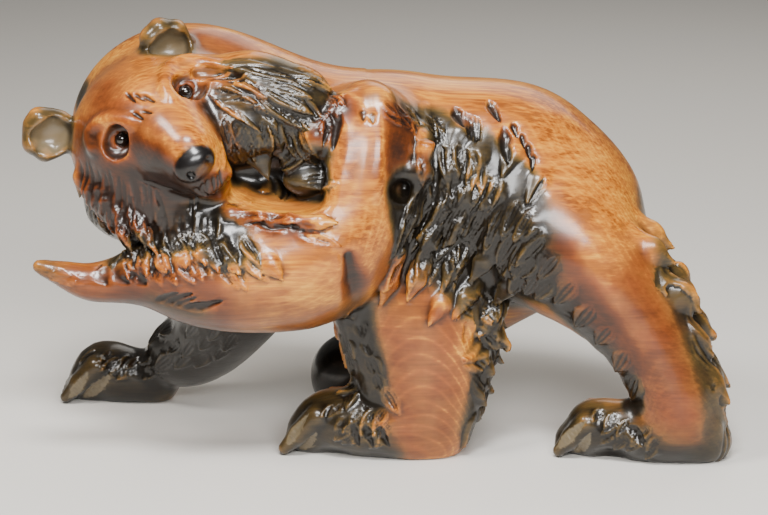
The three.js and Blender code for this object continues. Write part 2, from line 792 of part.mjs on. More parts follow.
const bear = new THREE.Group();
bear.add(node("carved_bear", wood.getMesh(), WOOD));
bear.add(node("eye_left", ball(inHead(EYES.left), EYE_RADIUS, 2), GLASS));
bear.add(node("eye_right", ball(inHead(EYES.right), EYE_RADIUS, 2), GLASS));

export default bear;
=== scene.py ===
# %% [markdown]
# # A wooden bear, carved and lacquered
# The bear is cut from one block of wood. It strides on four planted feet, reaches out with one raised
# forelimb and turns its head back over its shoulder. This lesson dresses the measured solid: it grows
# the same body again as a fine mesh, cuts the fur into it stroke by stroke, and stains and lacquers it.
# Work here is in carving millimetres, and each mesh is moved to the frame, in metres, as it is made.

import math
import time

import bpy
import numpy as np
from mathutils import Matrix, Vector


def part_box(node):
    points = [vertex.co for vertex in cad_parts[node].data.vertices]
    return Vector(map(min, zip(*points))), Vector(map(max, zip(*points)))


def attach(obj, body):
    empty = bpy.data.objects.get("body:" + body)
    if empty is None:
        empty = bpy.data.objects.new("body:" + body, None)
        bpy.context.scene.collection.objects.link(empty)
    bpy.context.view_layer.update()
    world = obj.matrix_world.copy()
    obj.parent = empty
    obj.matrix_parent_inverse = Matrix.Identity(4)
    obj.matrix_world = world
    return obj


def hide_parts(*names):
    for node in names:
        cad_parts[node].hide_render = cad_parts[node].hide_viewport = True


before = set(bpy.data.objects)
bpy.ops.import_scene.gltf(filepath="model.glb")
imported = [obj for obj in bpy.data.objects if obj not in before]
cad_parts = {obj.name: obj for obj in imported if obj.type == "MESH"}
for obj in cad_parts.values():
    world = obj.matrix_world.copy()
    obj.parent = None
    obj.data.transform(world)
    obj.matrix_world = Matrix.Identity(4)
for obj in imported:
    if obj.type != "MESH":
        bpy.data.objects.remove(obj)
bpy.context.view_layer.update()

# %% [markdown]
# ## Head directions and the shift to the frame
# The head has its own three directions: the way the face looks, the way the crown points, and across
# the cheeks. Left and right are meant as the picture shows them. The left eye is known in both systems,
# so it tells how far the frame lies from the carving. The middle of the face lies a little to the right
# of the middle of the skull, and MID says by how much.

# %% Head directions
def unit(v):
    v = np.asarray(v, float)
    return v / np.linalg.norm(v)


SKULL = np.array([-158.0, -34.0, 226.0])
LOOK = unit([0.25, -0.966, 0.03])
upward = np.array([-0.586, -0.127, 0.799])
CROWN = unit(upward - LOOK * (upward @ LOOK))
CHEEK = np.cross(CROWN, LOOK)
HEAD = np.array([LOOK, CHEEK, CROWN])
MID = 9
EYES = {"eye_left": (37, -18, 23), "eye_right": (37, 35, 20.5)}
EYE_RADIUS = 5.2
EARS = [(-10, -54, 47), (-12, 47, 42)]


def in_head(forward, sideways, up):
    return SKULL + LOOK * forward + CHEEK * sideways + CROWN * up


def head_bones(points):
    return [(*in_head(f, s, u), r) for f, s, u, r in points]


left_low, left_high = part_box("eye_left")
SHIFT = np.array((left_low + left_high) / 2) * 1000 - in_head(*EYES["eye_left"])
print("shift to the frame, mm", SHIFT.round(2))

# %% [markdown]
# ## The wood as a field of distances
# A carved body has no flat sides and no seams, so boxes and tubes joined in a mesh would show where
# they meet. A block of cells, each holding its distance to the skin, joins swellings and limbs as
# softly as wished, the way a carver lets one form run into the next. Metaballs would do something
# similar, but with less control over flat or hollow shapes.

# %% A block of cells
AIR = 60
STEP = 1.25
LOW = np.array([-262.0, -150.0, -12.0])
HIGH = np.array([262.0, 126.0, 322.0])
COUNT = np.ceil((HIGH - LOW) / STEP).astype(int) + 1
AXES = [(LOW[i] + STEP * np.arange(COUNT[i])).astype(np.float32) for i in range(3)]
field = np.full(COUNT, AIR, np.float32)


def cells_of(low, high, pad):
    first = np.clip(np.floor((np.asarray(low) - pad - LOW) / STEP).astype(int), 0, COUNT)
    last = np.clip(np.ceil((np.asarray(high) + pad - LOW) / STEP).astype(int) + 1, 0, COUNT)
    return tuple(slice(a, max(a, b)) for a, b in zip(first, last))


def places(cells):
    x, y, z = (AXES[i][cells[i]] for i in range(3))
    return x[:, None, None], y[None, :, None], z[None, None, :]


print("cells", COUNT, "of", STEP, "mm")

# %% [markdown]
# ## Swellings
# Trunk, skull and cheeks are swollen forms, so each is an ellipsoid with its own directions. Where two
# forms come closer than the blend, the corner between them is filled. The same tool takes wood away.

# %% Swellings
def join(a, b, blend):
    """Nearer of two distances, with the corner between the two forms filled over the blend."""
    h = np.maximum(blend - np.abs(a - b), 0) / blend
    return np.minimum(a, b) - h * h * (blend * 0.25)


def merge(cells, distance, blend, taken):
    if taken:
        field[cells] = -join(-field[cells], distance, blend)
    else:
        field[cells] = join(field[cells], distance, blend)


def swell(at, half, blend=12, axes=None, taken=False):
    axes = np.eye(3) if axes is None else axes
    at = np.asarray(at, float)
    half = np.asarray(half, float)
    reach = np.sqrt(((axes * half[:, None]) ** 2).sum(0))
    cells = cells_of(at - reach, at + reach, blend + 8)
    x, y, z = places(cells)
    near = 0
    slope = 0
    for axis, size in zip(axes, half):
        q = ((x - at[0]) * axis[0] + (y - at[1]) * axis[1] + (z - at[2]) * axis[2]) / size
        near = near + q * q
        slope = slope + q * q / (size * size)
    k = np.sqrt(near) + 1e-6
    merge(cells, (k * (k - 1) / (np.sqrt(slope) + 1e-6)).astype(np.float32), blend, taken)


print("a blend of 12 mm fills a corner by", -join(np.float64(0), np.float64(0), 12), "mm")

# %% [markdown]
# ## Limbs
# A leg is a row of round bones that change in thickness and are joined softly. A form that is wide and
# thin, such as a lock or a slim leg, is the same thing pressed flat along one direction.

# %% Limbs
def bone(cells, a, b, flat):
    """Distance to a bone from a to b, each a place and a radius; flat is a direction and a share."""
    x, y, z = places(cells)
    ab = b[:3] - a[:3]
    px, py, pz = x - a[0], y - a[1], z - a[2]
    t = np.clip((px * ab[0] + py * ab[1] + pz * ab[2]) / (ab @ ab), 0, 1)
    qx, qy, qz = px - ab[0] * t, py - ab[1] * t, pz - ab[2] * t
    square = qx * qx + qy * qy + qz * qz
    if flat:
        n = flat[0]
        w = qx * n[0] + qy * n[1] + qz * n[2]
        square = square + w * w * (1 / flat[1] ** 2 - 1)
    return (np.sqrt(square) - (a[3] + (b[3] - a[3]) * t)).astype(np.float32)


def limb(points, blend=12, flat=None, taken=False, knit=None):
    points = np.array(points, float)
    low = (points[:, :3] - points[:, 3:]).min(0)
    high = (points[:, :3] + points[:, 3:]).max(0)
    cells = cells_of(low, high, blend + 8)
    whole = np.full([s.stop - s.start for s in cells], AIR, np.float32)
    for n in range(len(points) - 1):
        a, b = points[n], points[n + 1]
        soft = max(1, 0.5 * min(a[3], b[3])) if knit is None else knit
        piece_low = np.minimum(a[:3] - a[3], b[:3] - b[3])
        piece_high = np.maximum(a[:3] + a[3], b[:3] + b[3])
        part = cells_of(piece_low, piece_high, blend + soft + 14)
        part = tuple(slice(max(p.start, c.start), min(p.stop, c.stop)) for p, c in zip(part, cells))
        local = tuple(slice(p.start - c.start, p.stop - c.start) for p, c in zip(part, cells))
        whole[local] = join(whole[local], bone(part, a, b, flat), soft)
    merge(cells, whole, blend, taken)


print("the block holds", field.size, "cells for the limbs to grow in")

# %% [markdown]
# ## Body, limbs and head
# The same named sizes as the measured solid, grown on finer cells. Each limb is a line of radii from
# the trunk to the ground, smoothed by a curve.

# %% Sizes of the body
TRUNK = [
    ((-136, 14, 220), (84, 56, 77), 30),
    ((-5, 8, 188), (126, 66, 77), 58),
    ((78, 8, 185), (83, 64, 73), 16),
    ((126, 6, 160), (58, 61, 65), 14),
    ((-88, 34, 186), (56, 40, 66), 22),
]
NEAR_HIND = [
    (112, -22, 160, 48), (148, -34, 131, 37), (179, -42, 97, 28.5), (201, -48, 62, 25.5),
    (207, -52, 32, 25),
]
NEAR_HIND_PAW = [(226, -52, 14, 15), (192, -50, 18, 19), (162, -44, 20, 17), (146, -40, 19, 17)]
NEAR_LEG = [(20, -12, 132, 55), (24, -24, 86, 46), (28, -34, 50, 36), (28, -38, 18, 28)]
NEAR_LEG_PAW = [(12, -42, 20, 20), (-18, -38, 22, 20), (-40, -32, 22, 18), (-54, -30, 13, 13)]
FAR_FORE = [(-85, 24, 140, 44), (-108, 42, 92, 34), (-129, 62, 55, 26), (-152, 75, 38, 23)]
FAR_FORE_PAW = [(-172, 84, 18, 17), (-192, 86, 18, 17), (-210, 88, 22, 18), (-222, 88, 14, 12)]
FAR_HIND = [
    (110, 30, 140, 44), (79, 50, 100, 30), (36, 64, 62, 26), (4, 70, 34, 25), (-28, 73, 24, 26),
]
SOLES = [
    [(222, -52, 11, 14), (132, -36, 9, 11)],
    [(36, -36, 14, 18), (-54, -30, 9, 12)],
    [(-170, 84, 10, 14), (-222, 88, 9, 12)],
    [(4, 70, 15, 18), (-32, 73, 14, 18)],
]
RAISED_LIMB = [
    (-12, -38, 228, 34), (-20, -42, 190, 38), (-48, -50, 152, 44), (-95, -62, 141, 37),
    (-130, -72, 140, 29), (-155, -77, 142, 20), (-180, -81, 138, 13.5), (-200, -83, 137, 11),
    (-217, -85, 143, 8), (-233, -87, 149, 4.5),
]
print("the raised limb runs through", len(RAISED_LIMB), "places")

# %% [markdown]
# ## A soft curve
# Bones laid straight from place to place would show a kink at each one. A curve that runs through the
# named places, with three short bones between two of them, hides the joints.

# %% A soft curve
def smooth(points, parts=3):
    """More places on a soft curve through the given ones."""
    points = [np.array(p, float) for p in points]
    out = []
    for n in range(len(points) - 1):
        a, b, c, d = (points[min(len(points) - 1, max(0, n + o))] for o in (-1, 0, 1, 2))
        for s in range(parts):
            t = s / parts
            bend = 2 * a - 5 * b + 4 * c - d
            twist = -a + 3 * b - 3 * c + d
            out.append(0.5 * (2 * b + (c - a) * t + bend * t * t + twist * t * t * t))
    out.append(points[-1])
    return out


print("a curve through three places has", len(smooth([(0, 0), (1, 2), (2, 0)])), "points")

# %% [markdown]
# ## Trunk and limbs
# The trunk is five swellings from the neck to the rump. Four legs with flat soles stand on the ground,
# and the raised limb comes down from the shoulder, bends forward and thins out toward its paw.

# %% Trunk and limbs
began = time.time()
for at, half, blend in TRUNK:
    swell(at, half, blend)
limb(smooth(NEAR_HIND), 20)
limb(smooth(NEAR_HIND_PAW), 10)
limb(smooth(NEAR_LEG), 18, flat=((0, 1, 0), 0.75))
limb(smooth(NEAR_LEG_PAW), 12)
limb(smooth(FAR_FORE), 14)
limb(smooth(FAR_FORE_PAW), 12)
limb(smooth(FAR_HIND), 16)
for sole in SOLES:
    limb(sole, 8)
limb(smooth(RAISED_LIMB), 12)
swell((-11, -44, 256), (15, 15, 12), 10)
limb([(-120, 10, 215, 60), (-148, -12, 222, 55)], 18)
print("trunk and limbs grown in %.1f s" % (time.time() - began))

# %% [markdown]
# ## Head and muzzle
# Skull, muzzle, nose bridge, lower jaw and two full cheeks, all set out in the head's own directions,
# because the head is turned and tilted and its sizes are easier to read along the face.

# %% Head and muzzle
swell(in_head(0, 2, 2), (54, 60, 54), 14, HEAD)
swell(in_head(32, MID - 1, 17), (22, 43, 27), 14, HEAD)
swell(in_head(40, MID, -6), (36, 29, 24), 10, HEAD)
limb(head_bones([(28, MID - 1, 14, 26), (50, MID, 5, 24), (68, MID + 1, -4, 20)]), 12)
limb(head_bones([(42, MID, -15, 25), (65, MID + 1, -18, 19)]), 8)
limb(head_bones([(26, MID + 1, -31, 22), (55, MID + 3, -34, 12)]), 5)
swell(in_head(22, -30, -22), (26, 26, 32), 12, HEAD)
swell(in_head(18, 47, -16), (26, 22, 28), 12, HEAD)
print("the nose reaches", in_head(92, MID, -9).round(0), "mm")

# %% [markdown]
# ## Ruff, ears and hollows
# A thick ruff stands behind the cheek and a deep hollow is cut below it, as on the real carving. Wood
# is added first and taken away after, in the order a carver would work, since a later cut goes through
# whatever was grown before it.

# %% Ruff, ears and hollows
RUFF_FLAT = (unit([0.1, -1, 0.2]), 0.72)
limb([(-118, -46, 252, 34), (-88, -52, 254, 33), (-60, -54, 255, 26)], 12, flat=RUFF_FLAT)
limb([(-104, -58, 240, 24), (-82, -62, 236, 17)], 8)
limb([(*in_head(0, -34, -22), 34), (-178, -46, 184, 26), (-168, -54, 166, 13)], 12)
limb([(-150, -56, 186, 28), (-112, -60, 172, 28)], 12)

for ear in EARS:
    at = in_head(*ear)
    swell(at, (12, 18, 18), 7, HEAD)
    swell(at + LOOK * 8 - CROWN, (10, 15, 13), 2.5, HEAD, taken=True)

swell((-66, -90, 206), (35, 44, 22), 5, taken=True)
limb([(-60, -58, 220, 11), (-46, -66, 234, 12), (-32, -62, 246, 11)], 6)
limb(smooth([(-23, -57, 254, 9), (-24, -69, 228, 10), (-31, -78, 199, 9)]), 8)
limb(smooth([(-3, -53, 256, 9), (-2, -68, 228, 10), (-6, -76, 202, 9)]), 8)
limb([(8, -76, 246, 4), (16, -84, 200, 11), (22, -86, 160, 9), (30, -82, 135, 4)], 10, taken=True)
swell((14, -78, 197), (9, 24, 9), 4, taken=True)
swell((24, -63, 209), (10, 8, 9), 6)
swell((-54, -64, 204), (15, 10, 11), 8)
limb([(-24, -96, 158, 2), (-20, -94, 140, 6), (-12, -86, 114, 14)], 6, taken=True)
print("body grown in %.1f s" % (time.time() - began))

# %% [markdown]
# ## Paws, toes and the coarse tufts
# Toes are tapered fingers pushed into the paw. The coarse tufts break the outline of the legs, the
# ruff and the raised limb; the finer strokes come later, on the mesh.

# %% Toes
def toes(knuckle, claw, across, count):
    for n in range(count):
        aside = np.array(across) * (n - (count - 1) / 2)
        top = np.array(knuckle) + aside - [0, 0, abs(n - (count - 1) / 2) * 1.5]
        end = np.array(claw) + aside
        limb([(*top, 9), (*(0.45 * top + 0.55 * end), 7.5), (*end, 4.5)], 3)


toes((145, -38, 28), (126, -35, 5), (2, 10, 0), 4)
toes((-44, -32, 31), (-67, -30, 5), (2, 10, 0), 4)
toes((-214, 88, 31), (-237, 88, 5), (0, 10.5, 0), 4)
swell((158, -66, 1), (15, 16, 9), 4, taken=True)
swell((-36, -56, 0), (14, 13, 6), 4, taken=True)
print("toes on three paws")

# %% [markdown]
# ## Looking at the body
# Some tufts and every stroke have to lie on the skin, wherever it is by now. A probe reads the distance
# between the cells, its slope gives the way out of the wood, and a ray walks along one direction until
# it meets the skin. A ray cast against a finished mesh would also do, but there is no mesh yet.

# %% Looking at the body
def sample(points):
    """Distance to the skin at any place, read between the cells."""
    q = (np.atleast_2d(points) - LOW) / STEP
    i = np.clip(np.floor(np.nan_to_num(q)).astype(int), 0, COUNT - 2)
    f = q - i
    total = 0
    for n in range(8):
        o = np.array([n & 1, (n >> 1) & 1, (n >> 2) & 1])
        share = np.where(o, f, 1 - f).prod(1)
        total = total + share * field[tuple((i + o).T)]
    return total


def outward(points, reach=4.0):
    """Direction that leads out of the wood fastest."""
    points = np.atleast_2d(points)
    slope = [sample(points + d) - sample(points - d) for d in np.eye(3) * reach]
    slope = np.stack(slope, 1)
    return slope / (np.linalg.norm(slope, axis=1, keepdims=True) + 1e-9)


def cast(starts, way, length=300.0, stride=1.5):
    """First skin met from each start along one way; the second result tells which starts met it."""
    starts = np.atleast_2d(starts).astype(float)
    hits = np.full(starts.shape, np.nan)
    before = sample(starts)
    for n in range(1, int(length / stride)):
        now_at = starts + way * (n * stride)
        now = sample(now_at)
        fresh = np.isnan(hits[:, 0]) & (now < 0) & (before >= 0)
        share = (before / np.where(fresh, before - now, 1))[:, None]
        hits = np.where(fresh[:, None], now_at - way * stride * (1 - share), hits)
        before = now
    return hits, ~np.isnan(hits[:, 0])


crown_hit, _ = cast((0, 0, 320), np.array([0, 0, -1.0]))
print("the back is %.0f mm high over the origin" % crown_hit[0, 2])

# %% [markdown]
# ## Coarse tufts
# A tuft is a flat lock that is sunk at its root and lifts off at its tip. Tufts grown in the field
# merge with the body, which loose pieces pushed into it would not do.

# %% Coarse tufts
def lock(root, tip, width, out, lift=4, blend=3, thin=0.5, sunk=0.3):
    """A flat lock with its root sunk in the wood and its tip lifted off."""
    root = np.array(root, float)
    tip = np.array(tip, float)
    out = unit(out)
    middle = (root + tip) / 2
    points = [
        (*(root - out * sunk * width), width * 0.45),
        (*(middle + out * lift * 0.45), width * 0.5),
        (*(tip + out * lift), 1.1),
    ]
    limb(points, blend, flat=(out, thin), knit=2)


def skin_lock(x, z, angle, length, width, side, lift=4, blend=3, thin=0.5):
    """A lock that starts and ends on the skin, seen from the near side (-1) or the far side (1)."""
    turn = math.radians(angle)
    depth = 122 if side > 0 else -146
    ends = [(x, depth, z), (x + math.cos(turn) * length, depth, z + math.sin(turn) * length)]
    hits, met = cast(ends, np.array([0, -side, 0.0]))
    if met.all() and abs(hits[0, 1] - hits[1, 1]) < length * 1.2:
        lock(hits[0], hits[1], width, outward(hits.mean(0))[0], lift, blend, thin)


flank_hit, _ = cast((40, -146, 190), np.array([0, 1.0, 0]))
print("a ray from the near side meets the flank at y = %.0f mm" % flank_hit[0, 1])

# %% [markdown]
# ## Even spacing and chance
# Tufts stand at even distances along an edge, but no two are cut alike. The chance used here looks
# random and still gives the same numbers in every run, so the bear does not change.

# %% Even spacing and chance
def spread(points, count):
    """Evenly spaced places along a line, each with the direction of the line there."""
    points = np.array(points, float)
    lengths = np.r_[0, np.cumsum(np.linalg.norm(np.diff(points, axis=0), axis=1))]
    out = []
    for i in range(count):
        s = lengths[-1] * (i + 0.5) / count
        n = int(np.clip(np.searchsorted(lengths, s) - 1, 0, len(points) - 2))
        t = (s - lengths[n]) / (lengths[n + 1] - lengths[n])
        out.append((points[n] + (points[n + 1] - points[n]) * t, unit(points[n + 1] - points[n])))
    return out


def chance(n):
    """A number from 0 to 1 that looks random but is the same in every run."""
    s = np.sin(np.asarray(n, float) * 12.9898) * 43758.5453
    return s - np.floor(s)


print("three of the chances:", chance(np.arange(3)).round(2))

# %% [markdown]
# ## Tufts of the legs
# Seen from the side, the back of each near leg is a row of pointed tufts and its front is a row of soft
# knobs. Two rows side by side keep the edge broken from other sides too.

# %% Tufts of the legs
REAR_EDGE = [
    (174, -38, 172), (195, -42, 140), (208, -45, 108), (220, -48, 74), (227, -50, 42), (231, -52, 16),
]
for row in range(2):
    for n, (at, way) in enumerate(spread(REAR_EDGE, 5)):
        out = unit(way * 0.62 + [0.78, 0.12 * (row - 1), 0])
        start = at + [-4, 18 * row - 12, 7 * row - 7]
        length = 23 + 6 * chance(n + 7 * row) if n < 4 else 10
        lock(start - out * 14, start + out * length, 24, (0.1, 0.99, 0.1), 0, 8, 0.6, 0)
HIND_FRONT = [
    (112, -44, 130), (130, -46, 118), (151, -48, 97), (168, -50, 79), (180, -52, 62), (182, -52, 50),
]
for at, _ in spread(HIND_FRONT, 6):
    swell(at, (14, 14, 12), 6)
LEG_REAR = [(74, -24, 122), (73, -30, 90), (64, -34, 56), (50, -38, 20)]
for row in range(2):
    for n, (at, way) in enumerate(spread(LEG_REAR, 5)):
        out = unit(way * 0.6 + [0.8, 0, 0])
        start = at + [3 * row - 3, 16 * row - 12, 7 * row]
        length = 15 + 6 * chance(n + 11 * row) if n < 4 else 7
        lock(start - out * 14, start + out * length, 20, (0, 1, 0.1), 0, 4, 0.6, 0)
LEG_FRONT = [(-26, -38, 112), (-15, -40, 86), (-6, -42, 64), (1, -44, 46)]
for at, _ in spread(LEG_FRONT, 5):
    swell(at, (13, 15, 12), 6)
print("tufts behind two legs, knobs before them")

# %% [markdown]
# ## Tufts of flank, ruff and throat
# These tufts are broad and low. They give the flank, the far side, the ruff, the throat and the root of
# the raised limb an uneven ground, so that the fine strokes later do not all lie at one height.

# %% Tufts of flank, ruff and throat
began = time.time()
for row in range(5):
    for column in range(5):
        n = row * 5 + column
        u = column / 4
        x = 36 + 80 * u - 7 * row + 8 * chance(n) - 4
        z = 246 - 30 * u - 25 * row + 10 * (column % 2) + 6 * chance(n + 50) - 3
        skin_lock(x, z, -110 - 16 * u + 14 * chance(n + 90) - 7, 34, 14, -1, 2.0)
for row in range(3):
    for column in range(4):
        n = 200 + row * 4 + column
        x = -60 + 52 * column - 10 * row + 8 * chance(n)
        skin_lock(x, 226 - 30 * row + 8 * (column % 2), -118 + 12 * chance(n + 9), 36, 15, 1, 3.5)
for n in range(5):
    t = n / 4
    angle = math.radians(-4 - 66 * t)
    root = np.array([-70 - 20 * t, -64, 268 - 32 * t])
    tip = root + [34 * math.cos(angle), 6 - 8 * t, 34 * math.sin(angle)]
    lock(root, tip, 17, (0.1, -0.98, 0.17), 2, 3, 0.6, 0.1)
for n in range(6):
    t = n / 5
    skin_lock(-208 + 26 * t, 216 - 34 * t, -84 + 24 * t, 26, 12, -1, 3, 3, 0.6)
    skin_lock(-190 + 22 * t, 206 - 22 * t, -78 + 20 * t, 28, 12, -1, 3, 3, 0.5)
for n in range(6):
    skin_lock(-176 + 13 * n, 156 + 3 * n, -72, 15, 11, -1, 3)
for n in range(4):
    skin_lock(-122 + 12 * n, 174 - 3 * n, -66 + 6 * n, 28, 13, -1, 3.5)
for n in range(4):
    skin_lock(-116 + 20 * n, 186 - n, -4, 26, 10, -1, 3)
print("tufts grown in %.1f s" % (time.time() - began))

# %% [markdown]
# ## Face
# The eyes lie in deep sockets under sharp brows, and the far socket runs out into the ruff. The nose is
# a broad pad over a recessed mouth. Brows and folds follow the face, so their places are met by rays.
# Everything below the feet is cut away at the end, which makes the soles flat.

# %% Brows and eyes
def on_face(sideways, up, lift=0.0):
    hit, _ = cast(in_head(130, sideways, up), -LOOK, 150)
    return hit[0] + LOOK * lift


def ridge_on_face(points, radius, blend, taken=False):
    places_on = [(*on_face(s, u, lift), radius) for s, u, lift in points]
    limb(smooth(places_on), blend, taken=taken)


ridge_on_face([(-37, 30, -1), (-32, 38, -1), (-20, 41, -1), (-10, 36, -2), (-5, 30, -3)], 3.2, 6)
ridge_on_face([(24, 28, -2), (28, 36, -1), (39, 39, -1), (52, 33, -1), (62, 22, -2)], 3.2, 6)
swell(in_head(46, -21, 25.5), (9, 14, 11.5), 1.2, HEAD, taken=True)
swell(in_head(46, 39.5, 24), (9.4, 15, 11.5), 1.2, HEAD, taken=True)
ridge_on_face([(50, 26, 0), (58, 20, 1), (68, 10, 2)], 5, 1.5, taken=True)
for eye in EYES.values():
    ring = []
    for n in range(13):
        turn = math.radians(30 * n)
        lid = in_head(eye[0] + 0.2, eye[1] + 6.6 * math.cos(turn), eye[2] + 5.6 * math.sin(turn))
        ring.append((*lid, 1.2))
    limb(ring, 1.5)
    swell(in_head(eye[0] - 4, eye[1], eye[2]), (6, 7.5, 6.5), 3, HEAD)
print("eye sockets cut, lids raised")

# %% [markdown]
# ## Nose, chin and ears
# The nose pad stands out with two nostrils and a groove below it, the mouth is a cut, and the sockets
# are bored for the glass eyes. Small bumps around the ears make their rims look furry.

# %% Nose, chin and ears
swell(in_head(82.5, MID - 0.5, -9), (9.5, 15, 11.5), 1.5, HEAD)
swell(in_head(93, MID + 3, -31), (14, 18, 11), 1.5, HEAD, taken=True)
limb(head_bones([(72, MID - 4, -30, 7), (70, MID + 10, -30, 7)]), 4)
for side in (-1, 1):
    swell(in_head(91.5, MID + 0.5 + 8 * side, -13.5), (5.5, 3.2, 4.4), 1, HEAD, taken=True)
limb(head_bones([(93, MID, -15, 1.4), (90, MID - 1, -21, 1.4)]), 1, taken=True)
for eye in EYES.values():
    swell(in_head(*eye), (EYE_RADIUS - 0.2,) * 3, 0.4, taken=True)
for n, ear in enumerate(EARS):
    for k in range(5):
        turn = math.radians(10 + 50 * k + 24 * chance(k + 5 * n))
        bump = in_head(ear[0] + 1, ear[1] + 15 * math.cos(turn), ear[2] + 15 * math.sin(turn))
        swell(bump, np.array([6, 4, 4]) * (0.6 + 0.7 * chance(k + 9 * n)), 6, HEAD)
whole = cells_of(LOW, HIGH, 0)
merge(whole, np.broadcast_to(places(whole)[2], field.shape), 2, True)
print("wood fills %.1f litres" % ((field < 0).sum() * STEP ** 3 / 1e6))

# %% [markdown]
# ## From the field to a skin
# One point goes into every cell that the skin crosses, at the mean of the crossings on its edges, and
# neighbouring points are joined by small four-sided faces. This keeps an even mesh with no seams.

# %% From the field to a skin
def crossing_points(block, inside):
    """A point for each cell the skin crosses, and a block that holds the number of each such cell."""
    size = np.array(block.shape) - 1
    corners = [(i, j, k) for i in (0, 1) for j in (0, 1) for k in (0, 1)]
    count = np.zeros(size, np.int8)
    for i, j, k in corners:
        count += inside[i:i + size[0], j:j + size[1], k:k + size[2]]
    cells = np.argwhere((count > 0) & (count < 8))
    numbers = np.full(size, -1, np.int32)
    numbers[tuple(cells.T)] = np.arange(len(cells))
    total = np.zeros((len(cells), 3))
    met = np.zeros(len(cells))
    for corner in corners:
        for way in range(3):
            if corner[way]:
                continue
            other = [c + (axis == way) for axis, c in enumerate(corner)]
            a = block[tuple((cells + corner).T)]
            b = block[tuple((cells + other).T)]
            crossed = (a < 0) != (b < 0)
            point = np.tile(np.array(corner, float), (len(cells), 1))
            point[:, way] += np.where(crossed, a / np.where(crossed, a - b, 1), 0)
            total += np.where(crossed[:, None], point, 0)
            met += crossed
    return LOW + STEP * (cells + total / met[:, None]), numbers


wood_cells = field < 0
points, numbers = crossing_points(field, wood_cells)
print("the skin crosses", len(points), "cells")

# %% [markdown]
# ## Faces of the skin
# Every edge of the block that runs from wood to air gets one face, joining the points of the four cells
# around it. The order of its corners decides which side is out.

# %% Faces of the skin
def crossing_faces(inside, numbers):
    faces = []
    for way in range(3):
        low = inside[tuple(slice(0, -1) if i == way else slice(1, -1) for i in range(3))]
        high = inside[tuple(slice(1, None) if i == way else slice(1, -1) for i in range(3))]
        at = np.argwhere(low != high)
        filled = low[tuple(at.T)]
        at += [0 if i == way else 1 for i in range(3)]
        u, v = (way + 1) % 3, (way + 2) % 3
        ring = []
        for du, dv in ((1, 1), (0, 1), (0, 0), (1, 0)):
            cell = at.copy()
            cell[:, u] -= du
            cell[:, v] -= dv
            ring.append(numbers[tuple(cell.T)])
        ring = np.stack(ring, 1)
        ring[~filled] = ring[~filled, ::-1]
        faces.append(ring)
    return np.concatenate(faces)


def normals_of(points, faces):
    """Outward direction at each point, from the faces around it."""
    one, two, three, four = (points[faces[:, corner]] for corner in range(4))
    across = np.cross(three - one, four - two)
    out = np.zeros_like(points)
    for corner in range(4):
        for axis in range(3):
            out[:, axis] += np.bincount(faces[:, corner], across[:, axis], len(points))
    return out / (np.linalg.norm(out, axis=1, keepdims=True) + 1e-12)


faces = crossing_faces(wood_cells, numbers)
normals = normals_of(points, faces)
print("the skin has", len(faces), "faces")

# %% [markdown]
# ## Strokes of the gouge
# The coat is hundreds of strokes. A lock is a leaf of wood that rises toward its tip and drops there
# in a clean step; a scoop is a hollow cut with a round gouge into smooth wood. Each stroke is placed by
# looking at the body along one direction, so a row of strokes follows whatever curve lies under it.
# Sculpting by hand could look better but could not be repeated, and a bump texture would not break
# the outline.

# %% Places for strokes
VIEWS = {
    "near": ((0, -148, 0), (0, 1, 0), (1, 0, 0), (0, 0, 1)),
    "far": ((0, 124, 0), (0, -1, 0), (1, 0, 0), (0, 0, 1)),
    "rear": ((260, 0, 0), (-1, 0, 0), (0, 1, 0), (0, 0, 1)),
    "rear_of_leg": ((118, 0, 0), (-1, 0, 0), (0, 1, 0), (0, 0, 1)),
    "front_of_leg": ((-60, 0, 0), (1, 0, 0), (0, 1, 0), (0, 0, 1)),
    "top": ((0, 0, 320), (0, 0, -1), (1, 0, 0), (0, 1, 0)),
    "face": (in_head(130, 0, 0), -LOOK, CHEEK, CROWN),
}
strokes = []


def place(view, a, b, turn, length, width, height, bowl, cut):
    """Strokes that start at (a, b) in a view and run along turn, in degrees; all are arrays."""
    start, way, right, up = (np.array(v, float) for v in VIEWS[view])
    turn = np.radians(turn)
    head = start + np.outer(a, right) + np.outer(b, up)
    along = np.outer(np.cos(turn), right) + np.outer(np.sin(turn), up)
    roots, met = cast(head, way)
    tips, tips_met = cast(head + along * length[:, None] * 0.8, way)
    normal = outward(np.where(tips_met[:, None], (roots + tips) / 2, roots), 5.0)
    reach = np.where(tips_met[:, None], tips - roots, along)
    steep = np.abs(reach @ way) > 1.3 * length
    reach = np.where(steep[:, None], along, reach)
    reach -= normal * (reach * normal).sum(1, keepdims=True)
    reach /= np.linalg.norm(reach, axis=1, keepdims=True) + 1e-9
    for n in np.flatnonzero(met):
        strokes.append((roots[n], reach[n], normal[n], length[n], width[n], height[n], bowl, cut))


print("strokes are placed by looking along", len(VIEWS), "ways")

# %% [markdown]
# ## Patches and lines of strokes
# Fur lies in rows that overlap like tiles: the lowest row is cut first and each row above lies over it.
# A patch spreads such rows over a four-sided area and staggers them, a line follows a path, and a single
# stroke is for the few places where the photograph shows one clear cut.

